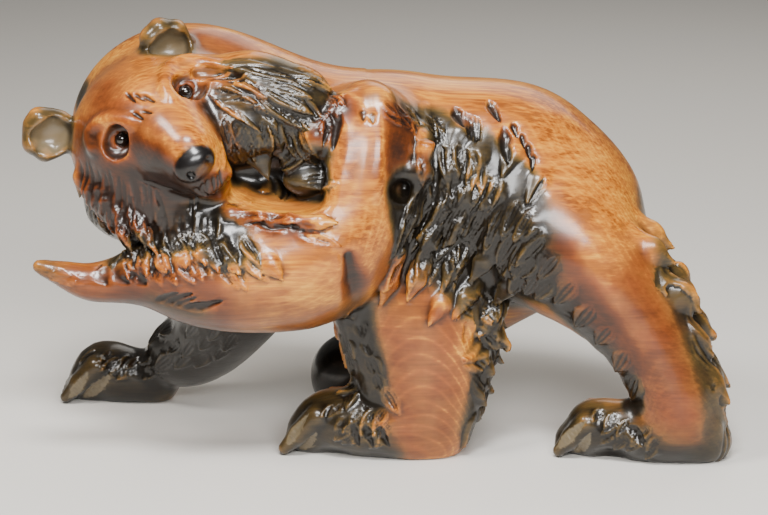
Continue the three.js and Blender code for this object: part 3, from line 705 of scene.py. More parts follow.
# %% Patches and lines of strokes
def patch(view, corners, rows, columns, turns, size, seed, wild=8, bowl=0.35, cut=False):
    """Rows of strokes over a patch: corners run clockwise from the upper left, turns from left to right."""
    down = (np.arange(rows) + 0.5) / rows
    along = (np.arange(columns) + 0.5) / columns
    v, u = np.meshgrid(down, along, indexing="ij")
    count = rows * columns
    stagger = (np.arange(rows) % 2 * 0.5 - 0.25)[:, None] / columns
    u = np.clip(u + stagger, 0, 1).ravel()
    v = v.ravel()
    number = seed * 17.3 + np.arange(count)
    u = u + (chance(number) - 0.5) * 0.5 / columns
    v = v + (chance(number + 0.37) - 0.5) * 0.5 / rows
    corners = np.array(corners, float)
    weights = np.stack([(1 - u) * (1 - v), u * (1 - v), u * v, (1 - u) * v], 1)
    at = weights @ corners
    turn = weights @ np.array([turns[0], turns[1], turns[1], turns[0]], float)
    turn += (chance(number + 0.71) - 0.5) * 2 * wild
    grow = 0.88 + 0.24 * chance(number + 0.53)
    length, width, height = (value * grow for value in size)
    order = np.argsort(-v, kind="stable")
    values = (at[:, 0], at[:, 1], turn, length, width, height)
    place(view, *(value[order] for value in values), bowl, cut)


def line(view, points, count, turns, size, seed, wild=6, bowl=0.35, cut=False):
    """Strokes spread along a line in a view, turning from the first angle to the last."""
    where = np.array([at for at, _ in spread([(*p, 0) for p in points], count)])
    number = seed * 13.1 + np.arange(count)
    turn = np.linspace(turns[0], turns[1], count) + (chance(number) - 0.5) * 2 * wild
    grow = 0.85 + 0.3 * chance(number + 0.53)
    length, width, height = (value * grow for value in size)
    place(view, where[:, 0], where[:, 1], turn, length, width, height, bowl, cut)


def single(x, z, angle, size, seed, cut=True):
    """One stroke on the near side."""
    line("near", [(x - 0.25, z), (x + 0.25, z)], 1, (angle, angle), size, seed, wild=0, cut=cut)


print("a patch of four rows has them at", ((np.arange(4) + 0.5) / 4).tolist())

# %% [markdown]
# ## Shape of a stroke
# From above a stroke is a leaf, widest at a third of its length. A lock rises along the leaf and may be
# dished or fluted; a scoop is a round groove with a steep end.

# %% Shape of a stroke
ROOT = 0.25


def outline_of(u):
    """Half width of a stroke, as a share of its widest, from root to tip."""
    rise = np.sqrt(np.clip(u / 0.3, 0, 1))
    fall = 1 - np.clip((u - 0.3) / 0.7, 0, 1) ** 2.2
    return rise * fall


def scoop_depth(u, across, height):
    """Depth of a round gouge's hollow along and across a stroke."""
    return height * (1 - across ** 2) * np.clip(u / ROOT, 0, 1) * np.clip((1 - u) / 0.12, 0, 1) ** 0.5


def leaf_rise(u, across, height, bowl, tilt, fluted):
    """Height of a lock: it climbs to its tip, is dished and tilted, and a wide one is fluted."""
    swing = np.sin(np.pi * u)
    dish = bowl * (1 - across ** 2) * swing
    rise = height * (0.3 + 0.7 * u - dish + tilt * across * swing)
    flute = 0.12 * height * np.cos(4.5 * np.pi * across) * fluted
    return rise + flute


def eased(share):
    """A share from 0 to 1 that starts and ends gently."""
    share = np.clip(share, 0, 1)
    return share * share * (3 - 2 * share)


print("a stroke is widest, %.2f, at a third of its length" % outline_of(np.array([0.3]))[0])

# %% [markdown]
# ## Points near a stroke
# A stroke touches a few hundred points out of several hundred thousand. Sorting the points into bins
# once, by place, makes it quick to find the ones near each stroke.

# %% Points near a stroke
BIN = 10.0
BIN_SHIFT = 60
BINS = 200


def bin_codes(points):
    i, j, k = (np.floor(points / BIN).astype(np.int64) + BIN_SHIFT).T
    return (i * BINS + j) * BINS + k


def near_stroke(codes, order, middle, half):
    """Numbers of the points in the bins around a stroke."""
    low = np.floor((middle - half) / BIN).astype(int) + BIN_SHIFT
    high = np.floor((middle + half) / BIN).astype(int) + BIN_SHIFT
    i, j = np.meshgrid(np.arange(low[0], high[0] + 1), np.arange(low[1], high[1] + 1))
    base = (i.ravel() * BINS + j.ravel()) * BINS
    first = np.searchsorted(codes, base + low[2])
    last = np.searchsorted(codes, base + high[2] + 1)
    return np.concatenate([order[a:b] for a, b in zip(first, last)])


print("bins in use:", len(np.unique(bin_codes(points))))

# %% [markdown]
# ## Cutting with one stroke after the other
# Later locks lie over earlier ones, as tiles do, and meet them with a soft edge. The real locks took the
# stain leaf by leaf, so each point remembers a place nearer the middle of its leaf, and the stain is
# looked up there. A cut only goes deeper, and claws leave bare wood.

# %% Cutting with one stroke after the other
EDGE = 1.9
PULL = 0.5
FLUTED_FROM = 7.5


def carve(points, normals):
    """Lift, hollow, bare wood and place of stain for every point; later strokes lie over earlier ones."""
    codes = bin_codes(points)
    order = np.argsort(codes, kind="stable")
    codes = codes[order]
    raised = np.zeros(len(points))
    hollow = np.zeros(len(points))
    bare_and_ear_sheen = np.zeros(len(points))
    stained_at = points.copy()
    tilts = (chance(np.arange(len(strokes)) * 3.7) - 0.5) * 1.5
    for tilt, (root, way, out, length, width, height, bowl, cut) in zip(tilts, strokes):
        middle = root + way * length / 2
        near = near_stroke(codes, order, middle, length * 0.5 + 2)
        offset = points[near] - root
        u = offset @ way / length
        v = offset @ np.cross(out, way)
        room = outline_of(u) * width / 2
        inside = (u > 0) & (u < 1) & (np.abs(v) < room) & (np.abs(offset @ out) < 0.45 * length + 4)
        inside &= normals[near] @ out > 0.25
        near, u, v, room = near[inside], u[inside], v[inside], room[inside]
        across = v / room
        if cut:
            if cut == "claw":
                height = height * (1 + 0.35 * np.cos(18 * np.pi * u))
                bare_and_ear_sheen[near] = 1
            hollow[near] = np.minimum(hollow[near], -scoop_depth(u, across, height))
            continue
        soft = max(EDGE, 0.2 * width)
        step = np.minimum(eased((room - np.abs(v)) / soft), eased((1 - u) * length / soft))
        rooted = np.clip(u / ROOT, 0, 1)
        lift = leaf_rise(u, across, height, bowl, tilt, width > FLUTED_FROM) * step * rooted
        raised[near] = raised[near] * (1 - rooted) + lift
        stained_at[near] = middle + (points[near] - middle) * PULL
    return raised, hollow, bare_and_ear_sheen, stained_at


print("soft edges are at least", EDGE, "mm wide, and locks over", FLUTED_FROM, "mm are fluted")

# %% [markdown]
# ## Where the coat lies
# Every area of fur is one call: the patch it covers, how many strokes, which way they fall, and the
# length, width and height of one stroke. Long blades run down the flank, broad leaves close the haunch,
# flutes fan out of the ruff, and short feathers scallop the backs of the legs. The flank and the haunch
# come first, from the edge of the thigh forward and up to the smooth crest of the back.

# %% Fur of the flank and haunch
EDGE_OF_THIGH = [(104, 182), (116, 160), (134, 132), (156, 104), (172, 78), (178, 56)]
line("near", EDGE_OF_THIGH, 7, (-128, -112), (30, 19, 3.4), 12, bowl=0.6)
patch("near", [(78, 164), (112, 160), (120, 130), (92, 126)], 2, 3, (-106, -124), (24, 14, 3.2), 6,
      bowl=0.5)
patch("near", [(14, 170), (66, 164), (54, 140), (14, 146)], 1, 6, (-112, -100), (30, 9, 2.8), 16,
      wild=5, bowl=0.8)
patch("near", [(84, 200), (114, 198), (112, 160), (80, 160)], 2, 3, (-114, -126), (36, 13, 3.6), 5,
      wild=5, bowl=0.7)
patch("near", [(54, 206), (86, 202), (76, 176), (46, 178)], 1, 5, (-108, -118), (50, 11, 3.8), 4,
      wild=4, bowl=0.8)
patch("near", [(28, 206), (54, 206), (46, 184), (22, 184)], 1, 5, (-110, -114), (52, 10, 3.8), 3,
      wild=4, bowl=0.8)
patch("near", [(36, 222), (84, 214), (86, 200), (34, 204)], 1, 7, (-98, -112), (32, 10, 3.4), 2,
      wild=4, bowl=0.9)
patch("near", [(26, 240), (74, 230), (74, 210), (22, 218)], 1, 8, (-84, -98), (28, 8.5, 2.8), 17,
      wild=4, bowl=0.9)
patch("near", [(-4, 262), (42, 243), (36, 230), (-8, 254)], 2, 6, (-45, -60), (19, 8, 2.6), 1,
      wild=5, bowl=0.7)
line("near", [(54, 245), (66, 241)], 4, (-84, -88), (21, 4.4, 2.0), 7, wild=2, cut=True)
single(47.5, 247, -58, (19, 10, 2.6), 8)
single(70.5, 251, -56, (22, 9, 2.6), 9)
single(82.25, 236, -84, (31, 12, 3.4), 11)
for x, z, angle in [(87.25, 238, -66), (93.25, 232, -72), (98.25, 226, -82), (102.25, 219, -96)]:
    single(x, z, angle, (14, 6.5, 2.4), 10)
single(110.25, 205, -123, (25, 4.4, 2.4), 13)
print(len(strokes), "strokes so far")

# %% [markdown]
# ## Fur of the near legs
# Behind both near legs hang long leaves in a few rows, tight to the edge. Seen from behind and from the
# front, broader leaves close the legs where the photograph does not show them.

# %% Fur of the near legs
patch("near", [(190, 168), (204, 160), (234, 60), (224, 46)], 4, 1, (-48, -56), (52, 26, 4.6), 20,
      wild=4, bowl=0.8)
patch("rear", [(-54, 176), (-4, 178), (-16, 20), (-66, 20)], 4, 3, (-96, -84), (52, 25, 4.4), 21, wild=8)
patch("near", [(46, 136), (66, 128), (84, 70), (56, 44)], 4, 2, (-46, -38), (36, 24, 4.0), 22, bowl=0.9)
patch("rear_of_leg", [(-46, 126), (6, 126), (-8, 24), (-48, 24)], 5, 3, (-92, -88), (34, 20, 3.8), 23,
      wild=12)
patch("front_of_leg", [(-56, 124), (-8, 124), (-18, 44), (-50, 44)], 6, 3, (-96, -84), (22, 14, 3.2), 24,
      wild=14)
line("near", [(-24, 122), (-16, 94), (-8, 69), (2, 49)], 6, (-72, -62), (24, 15, 2.8), 25, bowl=0.8)
print(len(strokes), "strokes so far")

# %% [markdown]
# ## Fur of the ruff
# Leaves hang in layers behind the cheek, longer ones stream back from the ear, and a fringe of short
# ones closes the ruff toward the shoulder.

# %% Fur of the ruff
line("near", [(-100, 230), (-88, 222), (-76, 218)], 3, (-86, -70), (24, 11, 2.8), 65, wild=4, bowl=0.6)
line("near", [(-112, 240), (-104, 238), (-95, 236)], 3, (-84, -78), (30, 10, 3.0), 34, wild=3, bowl=0.6)
line("near", [(-112, 256), (-104, 254), (-96, 251), (-88, 249)], 4, (-80, -72), (34, 9, 3.2), 76,
     wild=3, bowl=0.7)
line("near", [(-46, 232), (-52, 226), (-62, 222)], 3, (-128, -140), (26, 11, 3.4), 66, wild=4, bowl=0.3)
line("near", [(-86, 254), (-77, 252), (-69, 250), (-61, 246), (-54, 244)], 5, (-76, -64), (32, 9, 3.4), 67,
     wild=3, bowl=0.8)
line("near", [(-92, 268), (-82, 270), (-72, 269), (-62, 266), (-54, 262)], 5, (-58, -46), (34, 10, 3.6), 77,
     wild=3, bowl=0.9)
line("near", [(-122, 266), (-117, 272), (-112, 277)], 3, (-34, -20), (48, 8, 3.2), 78, wild=2, bowl=0.6)
line("near", [(-88, 264), (-84, 270), (-80, 276)], 3, (-38, -22), (44, 11, 3.4), 68, wild=3, bowl=0.5)
FRINGE = [(-62, 281), (-48, 276), (-38, 266), (-37, 256), (-46, 246)]
line("near", FRINGE, 10, (0, -70), (15, 8, 2.8), 69, wild=5, bowl=0.3)
patch("near", [(-116, 286), (-74, 284), (-66, 274), (-106, 276)], 3, 3, (-6, -18), (44, 6.5, 2.4), 30,
      wild=4, bowl=0.4)
print(len(strokes), "strokes so far")

# %% [markdown]
# ## Fur of the head and throat
# The throat is fine vertical cuts with leaves over them. On the face there are only a few short cuts,
# because most of it is smooth wood.

# %% Fur of the head and throat
line("near", [(-34, 256), (-28, 252)], 2, (-110, -104), (26, 8, 2.2), 70, wild=3, cut=True)
line("near", [(-16, 254), (-6, 252)], 2, (-90, -84), (10, 8, 1.4), 75, wild=4, cut=True)
patch("near", [(-208, 226), (-150, 210), (-148, 172), (-198, 180)], 4, 13, (-96, -78), (32, 4.4, 1.0), 35,
      wild=5, cut=True)
patch("near", [(-206, 192), (-164, 196), (-154, 168), (-190, 164)], 3, 5, (-86, -72), (28, 9, 2.4), 36,
      bowl=0.8)
patch("near", [(-182, 200), (-104, 192), (-106, 170), (-166, 174)], 2, 8, (-104, -78), (26, 9, 2.2), 37,
      bowl=0.8)
line("near", [(-84, 206), (-68, 202), (-54, 204)], 3, (-40, 10), (30, 13, 2.6), 38, wild=4, bowl=0.8)
patch("face", [(-6, -20), (24, -18), (22, -38), (-10, -38)], 2, 8, (-124, -120), (13, 3.2, 1.3), 39,
      wild=4, cut=True)
line("face", [(2, 48), (12, 40)], 3, (-84, -60), (15, 4.5, 1.6), 61, cut=True)
line("face", [(-4, 38), (6, 33)], 2, (-70, -50), (12, 4, 1.3), 62, cut=True)
line("face", [(44, 22), (46, 2)], 4, (-14, -34), (30, 6, 2.4), 63, bowl=0.6)
print(len(strokes), "strokes so far")

# %% [markdown]
# ## Fur of the raised limb and the paws
# Leaves cover the root of the raised limb, and a few scoops mark its smooth lower side. The paws have
# short tufts above the toes, and each claw is one pale cut with hatching across it.

# %% Fur of the raised limb and the paws
patch("near", [(-186, 162), (-120, 182), (-112, 158), (-180, 152)], 2, 8, (-64, -52), (22, 9, 2.2), 40,
      bowl=0.8)
patch("near", [(-122, 182), (-90, 176), (-92, 152), (-114, 152)], 2, 3, (-62, -50), (26, 11, 2.6), 41,
      bowl=0.9)
line("near", [(-158, 128), (-128, 122)], 5, (24, 14), (22, 7, 2.0), 42, cut=True)
line("near", [(-222, 153), (-194, 149), (-164, 152)], 5, (-60, -50), (17, 15, 1.3), 54, wild=8, cut=True)
patch("near", [(-240, 154), (-214, 150), (-212, 138), (-236, 144)], 2, 5, (-20, -10), (13, 5.5, 1.5), 55,
      bowl=0.5)
patch("near", [(150, 42), (190, 34), (196, 14), (160, 22)], 3, 4, (-140, -120), (17, 9, 2.4), 43, bowl=0.7)
patch("near", [(-40, 44), (8, 46), (10, 18), (-24, 22)], 3, 5, (-140, -120), (18, 9, 2.4), 44, bowl=0.7)
patch("near", [(-216, 42), (-168, 50), (-150, 30), (-190, 28)], 3, 5, (-150, -130), (19, 9, 2.6), 45,
      bowl=0.7)
patch("near", [(-170, 70), (-110, 96), (-100, 60), (-150, 40)], 3, 4, (-130, -120), (27, 14, 2.6), 46,
      bowl=0.7)
patch("near", [(-116, 194), (-48, 184), (-48, 172), (-112, 180)], 2, 5, (-4, -14), (28, 8, 2.4), 47,
      bowl=0.9)
CLAWS = [
    (121.25, 8, 50, 33, 9), (134.25, 3, 62, 28, 9),
    (-68.75, 9, 57, 31, 8), (-58.75, 3, 54, 24, 8),
    (-240.75, 10, 56, 27, 8), (-233.75, 5, 56, 29, 8), (-224.75, 3, 44, 36, 10),
]
for x, z, angle, length, width in CLAWS:
    single(x, z, angle, (length, width, 1.3), 48, cut="claw")
line("near", [(-26, 28), (-2, 30)], 3, (-80, -66), (18, 7, 2.2), 49, cut=True)
line("near", [(168, 30), (176, 26)], 2, (-50, -60), (16, 8, 2.2), 64, cut=True)
print(len(strokes), "strokes so far")

# %% [markdown]
# ## Plainer fur of the far side
# The photograph does not show the far side. It gets larger leaves in wilder rows, enough to look
# finished when the bear is turned.

# %% Plainer fur of the far side
patch("far", [(-70, 230), (110, 226), (100, 150), (-60, 150)], 4, 8, (-104, -80), (34, 15, 3.0), 50,
      wild=12)
patch("far", [(-136, 120), (-92, 120), (-120, 40), (-160, 40)], 4, 3, (-110, -100), (27, 15, 3.2), 51,
      wild=12)
patch("far", [(60, 140), (130, 140), (60, 50), (-10, 30)], 4, 4, (-130, -110), (27, 16, 3.2), 52, wild=12)
patch("far", [(120, 170), (176, 160), (226, 40), (190, 40)], 6, 3, (-60, -50), (27, 15, 3.4), 53, wild=12)
print(len(strokes), "strokes")

# %% [markdown]
# ## Cut the strokes
# The strokes move the points of the fine skin in and out along its normals. Nothing may sink below the
# ground, and the normals are worked out again, because light and stain depend on them.

# %% Cut the strokes
began = time.time()
raised, hollow, bare_and_ear_sheen, stained_at = carve(points, normals)
points = points + normals * (raised + hollow)[:, None]
points[:, 2] = np.maximum(points[:, 2], 0)
normals = normals_of(points, faces)
print("carved in %.1f s, lift up to %.1f mm" % (time.time() - began, raised.max()))

# %% [markdown]
# ## How deep a point lies
# The maker rubbed a dark stain into the fur and wiped the smooth wood clean, so stain is left in the
# cuts. The depth of a point is measured against a smoothed copy of the skin: lightly smoothed for single
# cuts, which places that stain, and strongly smoothed for broad hollows, which places painted shade there.
# Baked shading would do, but it needs an image.

# %% How deep a point lies
def blurred(values, rounds):
    """Values at the points, averaged with those of their neighbours again and again."""
    for _ in range(rounds):
        middle = values[faces].mean(1)
        total = np.zeros_like(values)
        count = np.zeros(len(values))
        for corner in range(4):
            count += np.bincount(faces[:, corner], minlength=len(values))
            for axis in range(3):
                total[:, axis] += np.bincount(faces[:, corner], middle[:, axis], len(values))
        values = total / np.maximum(count, 1)[:, None]
    return values


began = time.time()
rounds = max(1, round(4.0 / STEP))
fine_skin = blurred(points, rounds * 2)
broad_skin = blurred(fine_skin, rounds * 8)
fine = ((fine_skin - points) * normals).sum(1)
# the depth in broad hollows is used for painted shade
broad = ((broad_skin - points) * normals).sum(1)
print("deepest, mm: fine %.2f, broad %.2f, in %.1f s" % (fine.max(), broad.max(), time.time() - began))

# %% [markdown]
# ## Areas of stain and painted shade
# Besides the cuts, whole areas were stained on purpose, and a few are darkened as painted shade. An area
# is a chain of balls through the fur, given as places and radii, with the softness of its rim and its
# strength. Painting on the mesh would do the same by hand, but could not be repeated.

# %% Areas of stain and painted shade
def chain(balls, feather):
    """Share, from 0 to 1, of each point inside a chain of balls with soft rims."""
    balls = np.array(balls, float)
    share = np.zeros(len(points))
    for a, b in zip(balls[:-1], balls[1:]):
        ab = b[:3] - a[:3]
        t = np.clip((stained_at - a[:3]) @ ab / (ab @ ab + 1e-9), 0, 1)
        away = np.linalg.norm(stained_at - a[:3] - t[:, None] * ab, axis=1) - (a[3] + (b[3] - a[3]) * t)
        share = np.maximum(share, np.clip(0.5 - away / feather, 0, 1))
    return eased(share)


def soaked(level, areas):
    """The level at each point, raised inside every one of the areas, whether of stain or of painted shade.
    """
    for balls, feather, share in areas.values():
        level = np.maximum(level, share * chain(balls, feather))
    return level


print("the whole head lies in %.2f of the points" % chain([(*SKULL, 90), (*(SKULL + LOOK), 90)], 1).mean())

# %% [markdown]
# ## Dark stain and painted shade on body and legs
# The flank, the backs and fronts of the legs and all the paws are olive to nearly black. The far legs
# and the far side are darkened as painted shade, because they lie in the shadow of the body.

# %% Dark stain and painted shade on body and legs
DARK_BODY = {
    "crest behind the shoulder": (
        [(-6, -56, 256, 8), (20, -46, 250, 9), (40, -40, 238, 12), (50, -52, 215, 18)], 14, 0.7,
    ),
    "upper edge of the flank": (
        [(40, -46, 226, 14), (62, -46, 226, 12), (76, -54, 214, 14), (90, -60, 196, 18),
         (94, -68, 168, 24)], 12, 0.85,
    ),
    "flank": ([(40, -56, 200, 22), (26, -60, 165, 24), (60, -60, 165, 34), (96, -66, 140, 26)], 16, 0.95),
    "lower flank": ([(52, -62, 142, 24), (64, -62, 118, 16)], 20, 0.8),
    "belly side": ([(20, -66, 150, 12), (26, -66, 140, 12)], 14, 0.6),
    "groove behind the shoulder": (
        [(16, -74, 200, 16), (14, -76, 186, 12), (18, -66, 160, 14)], 10, 0.95,
    ),
    "edge of the thigh": (
        [(98, -68, 160, 14), (118, -62, 128, 13), (142, -56, 102, 12), (166, -56, 74, 10),
         (176, -56, 44, 13)], 8, 0.9,
    ),
    "back of the hind leg": (
        [(200, -56, 170, 18), (216, -58, 130, 26), (228, -62, 92, 26), (236, -66, 60, 24),
         (240, -66, 16, 22)], 16, 0.64,
    ),
    "rump": ([(196, -10, 160, 30), (222, -20, 110, 34), (234, -30, 60, 34), (236, -34, 16, 26)], 30, 0.6),
    "near hind paw": (
        [(120, -40, 12, 26), (150, -46, 16, 24), (180, -56, 14, 22), (226, -60, 6, 18)], 18, 0.82,
    ),
    "back of the near leg": (
        [(72, -46, 134, 14), (84, -44, 96, 18), (82, -46, 62, 22), (72, -48, 26, 20)], 18, 0.8,
    ),
    "behind the near leg": ([(74, -20, 130, 26), (80, -20, 96, 28), (70, -24, 50, 28)], 20, 0.9),
    "front of the near leg": (
        [(-26, -44, 122, 19), (-20, -48, 92, 19), (-12, -50, 66, 19), (-12, -48, 46, 21)], 16, 0.92,
    ),
    "paw of the near leg": ([(-66, -40, 12, 26), (-34, -46, 20, 28), (-4, -50, 12, 20)], 18, 0.8),
    "paw of the far foreleg": ([(-240, 84, 12, 30), (-200, 80, 20, 32), (-160, 66, 34, 30)], 20, 0.85),
    # painted shade: the far legs, the far flank and the far haunch are darkened for the shadow of the body
    "far foreleg": ([(-164, 70, 50, 40), (-120, 46, 76, 54), (-90, 40, 106, 46)], 20, 1.0),
    "far hind leg": ([(-40, 74, 20, 36), (4, 70, 36, 36), (40, 60, 66, 36)], 20, 1.0),
    "far flank": ([(96, 62, 190, 24), (30, 68, 176, 34), (-44, 68, 178, 28)], 34, 0.6),
    "far haunch": ([(60, 62, 150, 20), (100, 54, 120, 20), (84, 62, 84, 24)], 24, 0.7),
}
stain = soaked(np.zeros(len(points)), DARK_BODY)
print("dark stain covers %.2f of the skin" % stain.mean())

# %% [markdown]
# ## Dark stain on ruff, throat and raised limb
# Around the smooth face everything is dark: the ruff, the hollow below it, the throat and the root of the
# raised limb. That contrast is what makes the face stand out.

# %% Dark stain on ruff, throat and raised limb
DARK_FRONT = {
    "top of the ruff": (
        [(-96, -66, 278, 10), (-72, -60, 270, 18), (-54, -60, 256, 20), (-70, -72, 242, 18)], 14, 0.78,
    ),
    "back of the ruff": ([(-62, -30, 280, 20), (-44, -40, 266, 12), (-44, -50, 250, 12)], 14, 0.55),
    "middle of the ruff": (
        [(-88, -70, 250, 14), (-88, -70, 226, 14), (-70, -66, 216, 22), (-46, -70, 222, 14)], 12, 0.85,
    ),
    "rim of the hollow": ([(-96, -60, 212, 14), (-66, -58, 210, 20), (-44, -60, 210, 15)], 9, 0.88),
    "hollow under the ruff": ([(-84, -58, 206, 13), (-40, -66, 206, 18)], 9, 0.88),
    "throat below the cheek": (
        [(-170, -74, 176, 10), (-148, -78, 184, 13), (-124, -80, 182, 15), (-106, -90, 164, 18)], 14, 0.92,
    ),
    "front of the throat": ([(-212, -40, 200, 14), (-198, -52, 172, 18), (-176, -62, 160, 14)], 12, 0.85),
    "root of the raised limb": (
        [(-184, -86, 158, 9), (-156, -88, 168, 13), (-126, -86, 172, 16)], 12, 0.85,
    ),
    "upper raised limb": ([(-112, -92, 160, 16), (-92, -92, 156, 14)], 12, 0.85),
    "scoops of the raised limb": ([(-154, -100, 126, 8), (-126, -100, 122, 8)], 10, 0.6),
    "raised paw": ([(-244, -90, 150, 10), (-226, -90, 148, 9)], 18, 0.6),
    "groove below the elbow": ([(-22, -94, 146, 3), (-20, -88, 132, 7), (-18, -80, 116, 14)], 20, 0.34),
    "left side of the head": ([(-212, 2, 250, 11), (-208, -18, 240, 10)], 10, 0.75),
    "fold behind the cheek": (
        [(-116, -80, 258, 7), (-104, -80, 244, 10), (-100, -80, 228, 10)], 12, 0.75,
    ),
    "fold below the ear": ([(-121, -72, 266, 5), (-92, -78, 264, 10)], 10, 0.7),
}
stain = soaked(stain, DARK_FRONT)
print("dark stain covers %.2f of the skin" % stain.mean())

# %% [markdown]
# ## Red brown stain
# Between the dark fur and the clean wood the stain was wiped thin and reads red brown: on the face, the
# raised limb, the near leg and the haunch.

# %% Red brown stain
RED = {
    "jaw and left cheek": ([(-196, -70, 228, 20), (-184, -82, 200, 30), (-150, -92, 192, 26)], 32, 0.82),
    "brow and muzzle": ([(-190, -62, 258, 20), (-172, -84, 250, 22), (-152, -98, 248, 14)], 36, 0.36),
    "right cheek": (
        [(-163, -96, 234, 10), (-152, -104, 222, 18), (-130, -104, 207, 18),
         (-112, -98, 206, 14)], 18, 0.88,
    ),
    "fold behind the cheek": ([(-116, -74, 250, 16), (-108, -76, 226, 16)], 16, 0.75),
    "fold below the ear": ([(-128, -70, 268, 8), (-104, -72, 268, 8), (-80, -76, 262, 8)], 12, 0.5),
    "shoulder behind the ruff": ([(-42, -72, 240, 12), (-30, -68, 254, 10)], 16, 0.8),
    "ridge of the shoulder": ([(5, -72, 236, 7), (5, -76, 212, 7)], 8, 0.5),
    "top of the shoulder": ([(-16, -50, 262, 14), (-8, -50, 262, 14)], 10, 0.25),
    "raised limb": ([(-230, -90, 146, 12), (-180, -92, 140, 26), (-130, -94, 128, 30)], 40, 0.5),
    "front of the thigh": (
        [(104, -70, 184, 12), (122, -74, 140, 16), (148, -72, 106, 16), (172, -70, 74, 14)], 20, 0.62,
    ),
    "crest behind the shoulder": ([(48, -32, 243, 7), (56, -42, 234, 7)], 8, 0.4),
    "back above the flank": ([(74, -34, 244, 7), (92, -42, 230, 9), (99, -48, 216, 7)], 12, 0.28),
    "top of the raised limb": ([(-104, -92, 188, 9), (-54, -98, 178, 9)], 10, 0.55),
    "floor of the hollow": ([(-92, -56, 196, 12), (-46, -60, 194, 12)], 16, 0.35),
    "top of the near leg": ([(10, -66, 146, 24), (30, -70, 128, 18)], 30, 0.35),
    "near leg": ([(24, -68, 116, 30), (20, -70, 40, 36)], 40, 0.3),
    "elbow": ([(-23, -94, 158, 6), (-20, -88, 136, 12)], 16, 0.6),
    "groove behind the shoulder": ([(12, -62, 244, 14), (8, -68, 224, 10)], 18, 0.8),
    "knob behind the shoulder": ([(26, -68, 212, 12), (27, -68, 212, 12)], 8, 0.6),
    "crown": ([(-127, -8, 290, 18), (-96, -10, 284, 16)], 28, 0.4),
    "haunch": ([(170, -70, 130, 22), (190, -76, 90, 30), (200, -74, 30, 30)], 50, 0.42),
    "below the elbow": ([(-60, -100, 130, 34), (-20, -92, 130, 30)], 40, 0.12),
}
red = soaked(np.zeros(len(points)), RED)
print("red brown stain covers %.2f of the skin" % red.mean())

# %% [markdown]
# ## Ears, eyes and nose
# The ears are dark with stain at the rim and pale inside, where the colour is a painted reflection of the
# lacquer's sheen over lightly stained wood. The wood around each eye is red brown, and the nose pad is
# black. All three are found in the head's own directions.

# %% Ears, eyes and nose
for ear in EARS:
    bowl = in_head(*ear)
    stain = np.maximum(stain, 0.72 * chain([(*bowl, 20), (*(bowl + LOOK * 4), 20)], 8))
    # painted reflection: inside each ear the stain is thinned and the pale colour stands in for the
    # lacquer's sheen
    inner_ear = chain([(*(bowl + LOOK * 3 - CROWN), 12.5), (*(bowl + LOOK * 9 - CROWN), 13)], 4)
    stain = stain * (1 - 0.5 * inner_ear)
    bare_and_ear_sheen = np.maximum(bare_and_ear_sheen, inner_ear)
for eye in EYES.values():
    socket = in_head(*eye)
    red = np.maximum(red, 0.7 * chain([(*socket, 9), (*(socket + LOOK), 9)], 9))
forward, sideways, up = ((points - SKULL) @ axis for axis in HEAD)
pad = np.sqrt(((sideways - MID + 0.5) / 15.5) ** 2 + ((up + 9) / 12.2) ** 2)
groove = np.sqrt(((sideways - MID - 1) / 6.5) ** 2 + ((up + 17.5) / 5.5) ** 2)
nose = np.clip((1 - pad) * 10, 0, 1) * np.clip((forward - 80) / 2.0, 0, 1)
nose *= 0.82 + 0.18 * np.clip((groove - 1) * 3, 0, 1)
print("the nose pad has", int((nose > 0.5).sum()), "points")

# %% [markdown]
# ## Layers on the points
# What was found is kept as numbers on the points, one layer for each finish and for each painted shade,
# and the material reads them by name. The layer of broad hollows and the layer of undersides are painted
# shade: they darken the wood where it lies deep or faces the ground.

# %% Layers on the points
figure = chain([(30, -70, 120, 18), (38, -68, 70, 30), (34, -66, 30, 26)], 36)
layers = {
    "stain": stain,
    "red": red,
    "recess": np.clip(fine, -1, 1),
    # painted shade in broad hollows
    "hollow": np.clip(broad / 4.0, -1, 1),
    "scoop": np.clip(-hollow / 2.2, 0, 1),
    "nose": nose,
    "bare_and_ear_sheen": bare_and_ear_sheen,
    "figure": figure,
    # painted shade on undersides: darker where the skin faces the ground
    "under": np.clip(-normals[:, 2], 0, 1),
}
print("layers:", ", ".join(layers))

# %% [markdown]
# ## Into the frame
# Blender takes a mesh as plain lists of points and faces. The shift found at the eye brings the carving's
# millimetres to the frame's metres.

# %% Into the frame
def mesh_of(name, points, faces):
    mesh = bpy.data.meshes.new(name)
    mesh.vertices.add(len(points))
    mesh.vertices.foreach_set("co", np.asarray(points, np.float32).ravel())
    mesh.loops.add(faces.size)
    mesh.loops.foreach_set("vertex_index", faces.astype(np.int32).ravel())
    mesh.polygons.add(len(faces))
    mesh.polygons.foreach_set("loop_start", np.arange(0, faces.size, faces.shape[1], dtype=np.int32))
    mesh.update(calc_edges=True)
    return mesh


def in_frame(points):
    return (np.asarray(points) + SHIFT) / 1000


print("the skull lies at", in_frame(SKULL).round(3), "in the frame")

# %% [markdown]
# ## Thin the mesh
# Faces are thinned only now, so that they stay dense along the cut edges and grow large on smooth wood.
# The stain layers are carried by the points. A coarser field would be quicker but would lose the cuts.

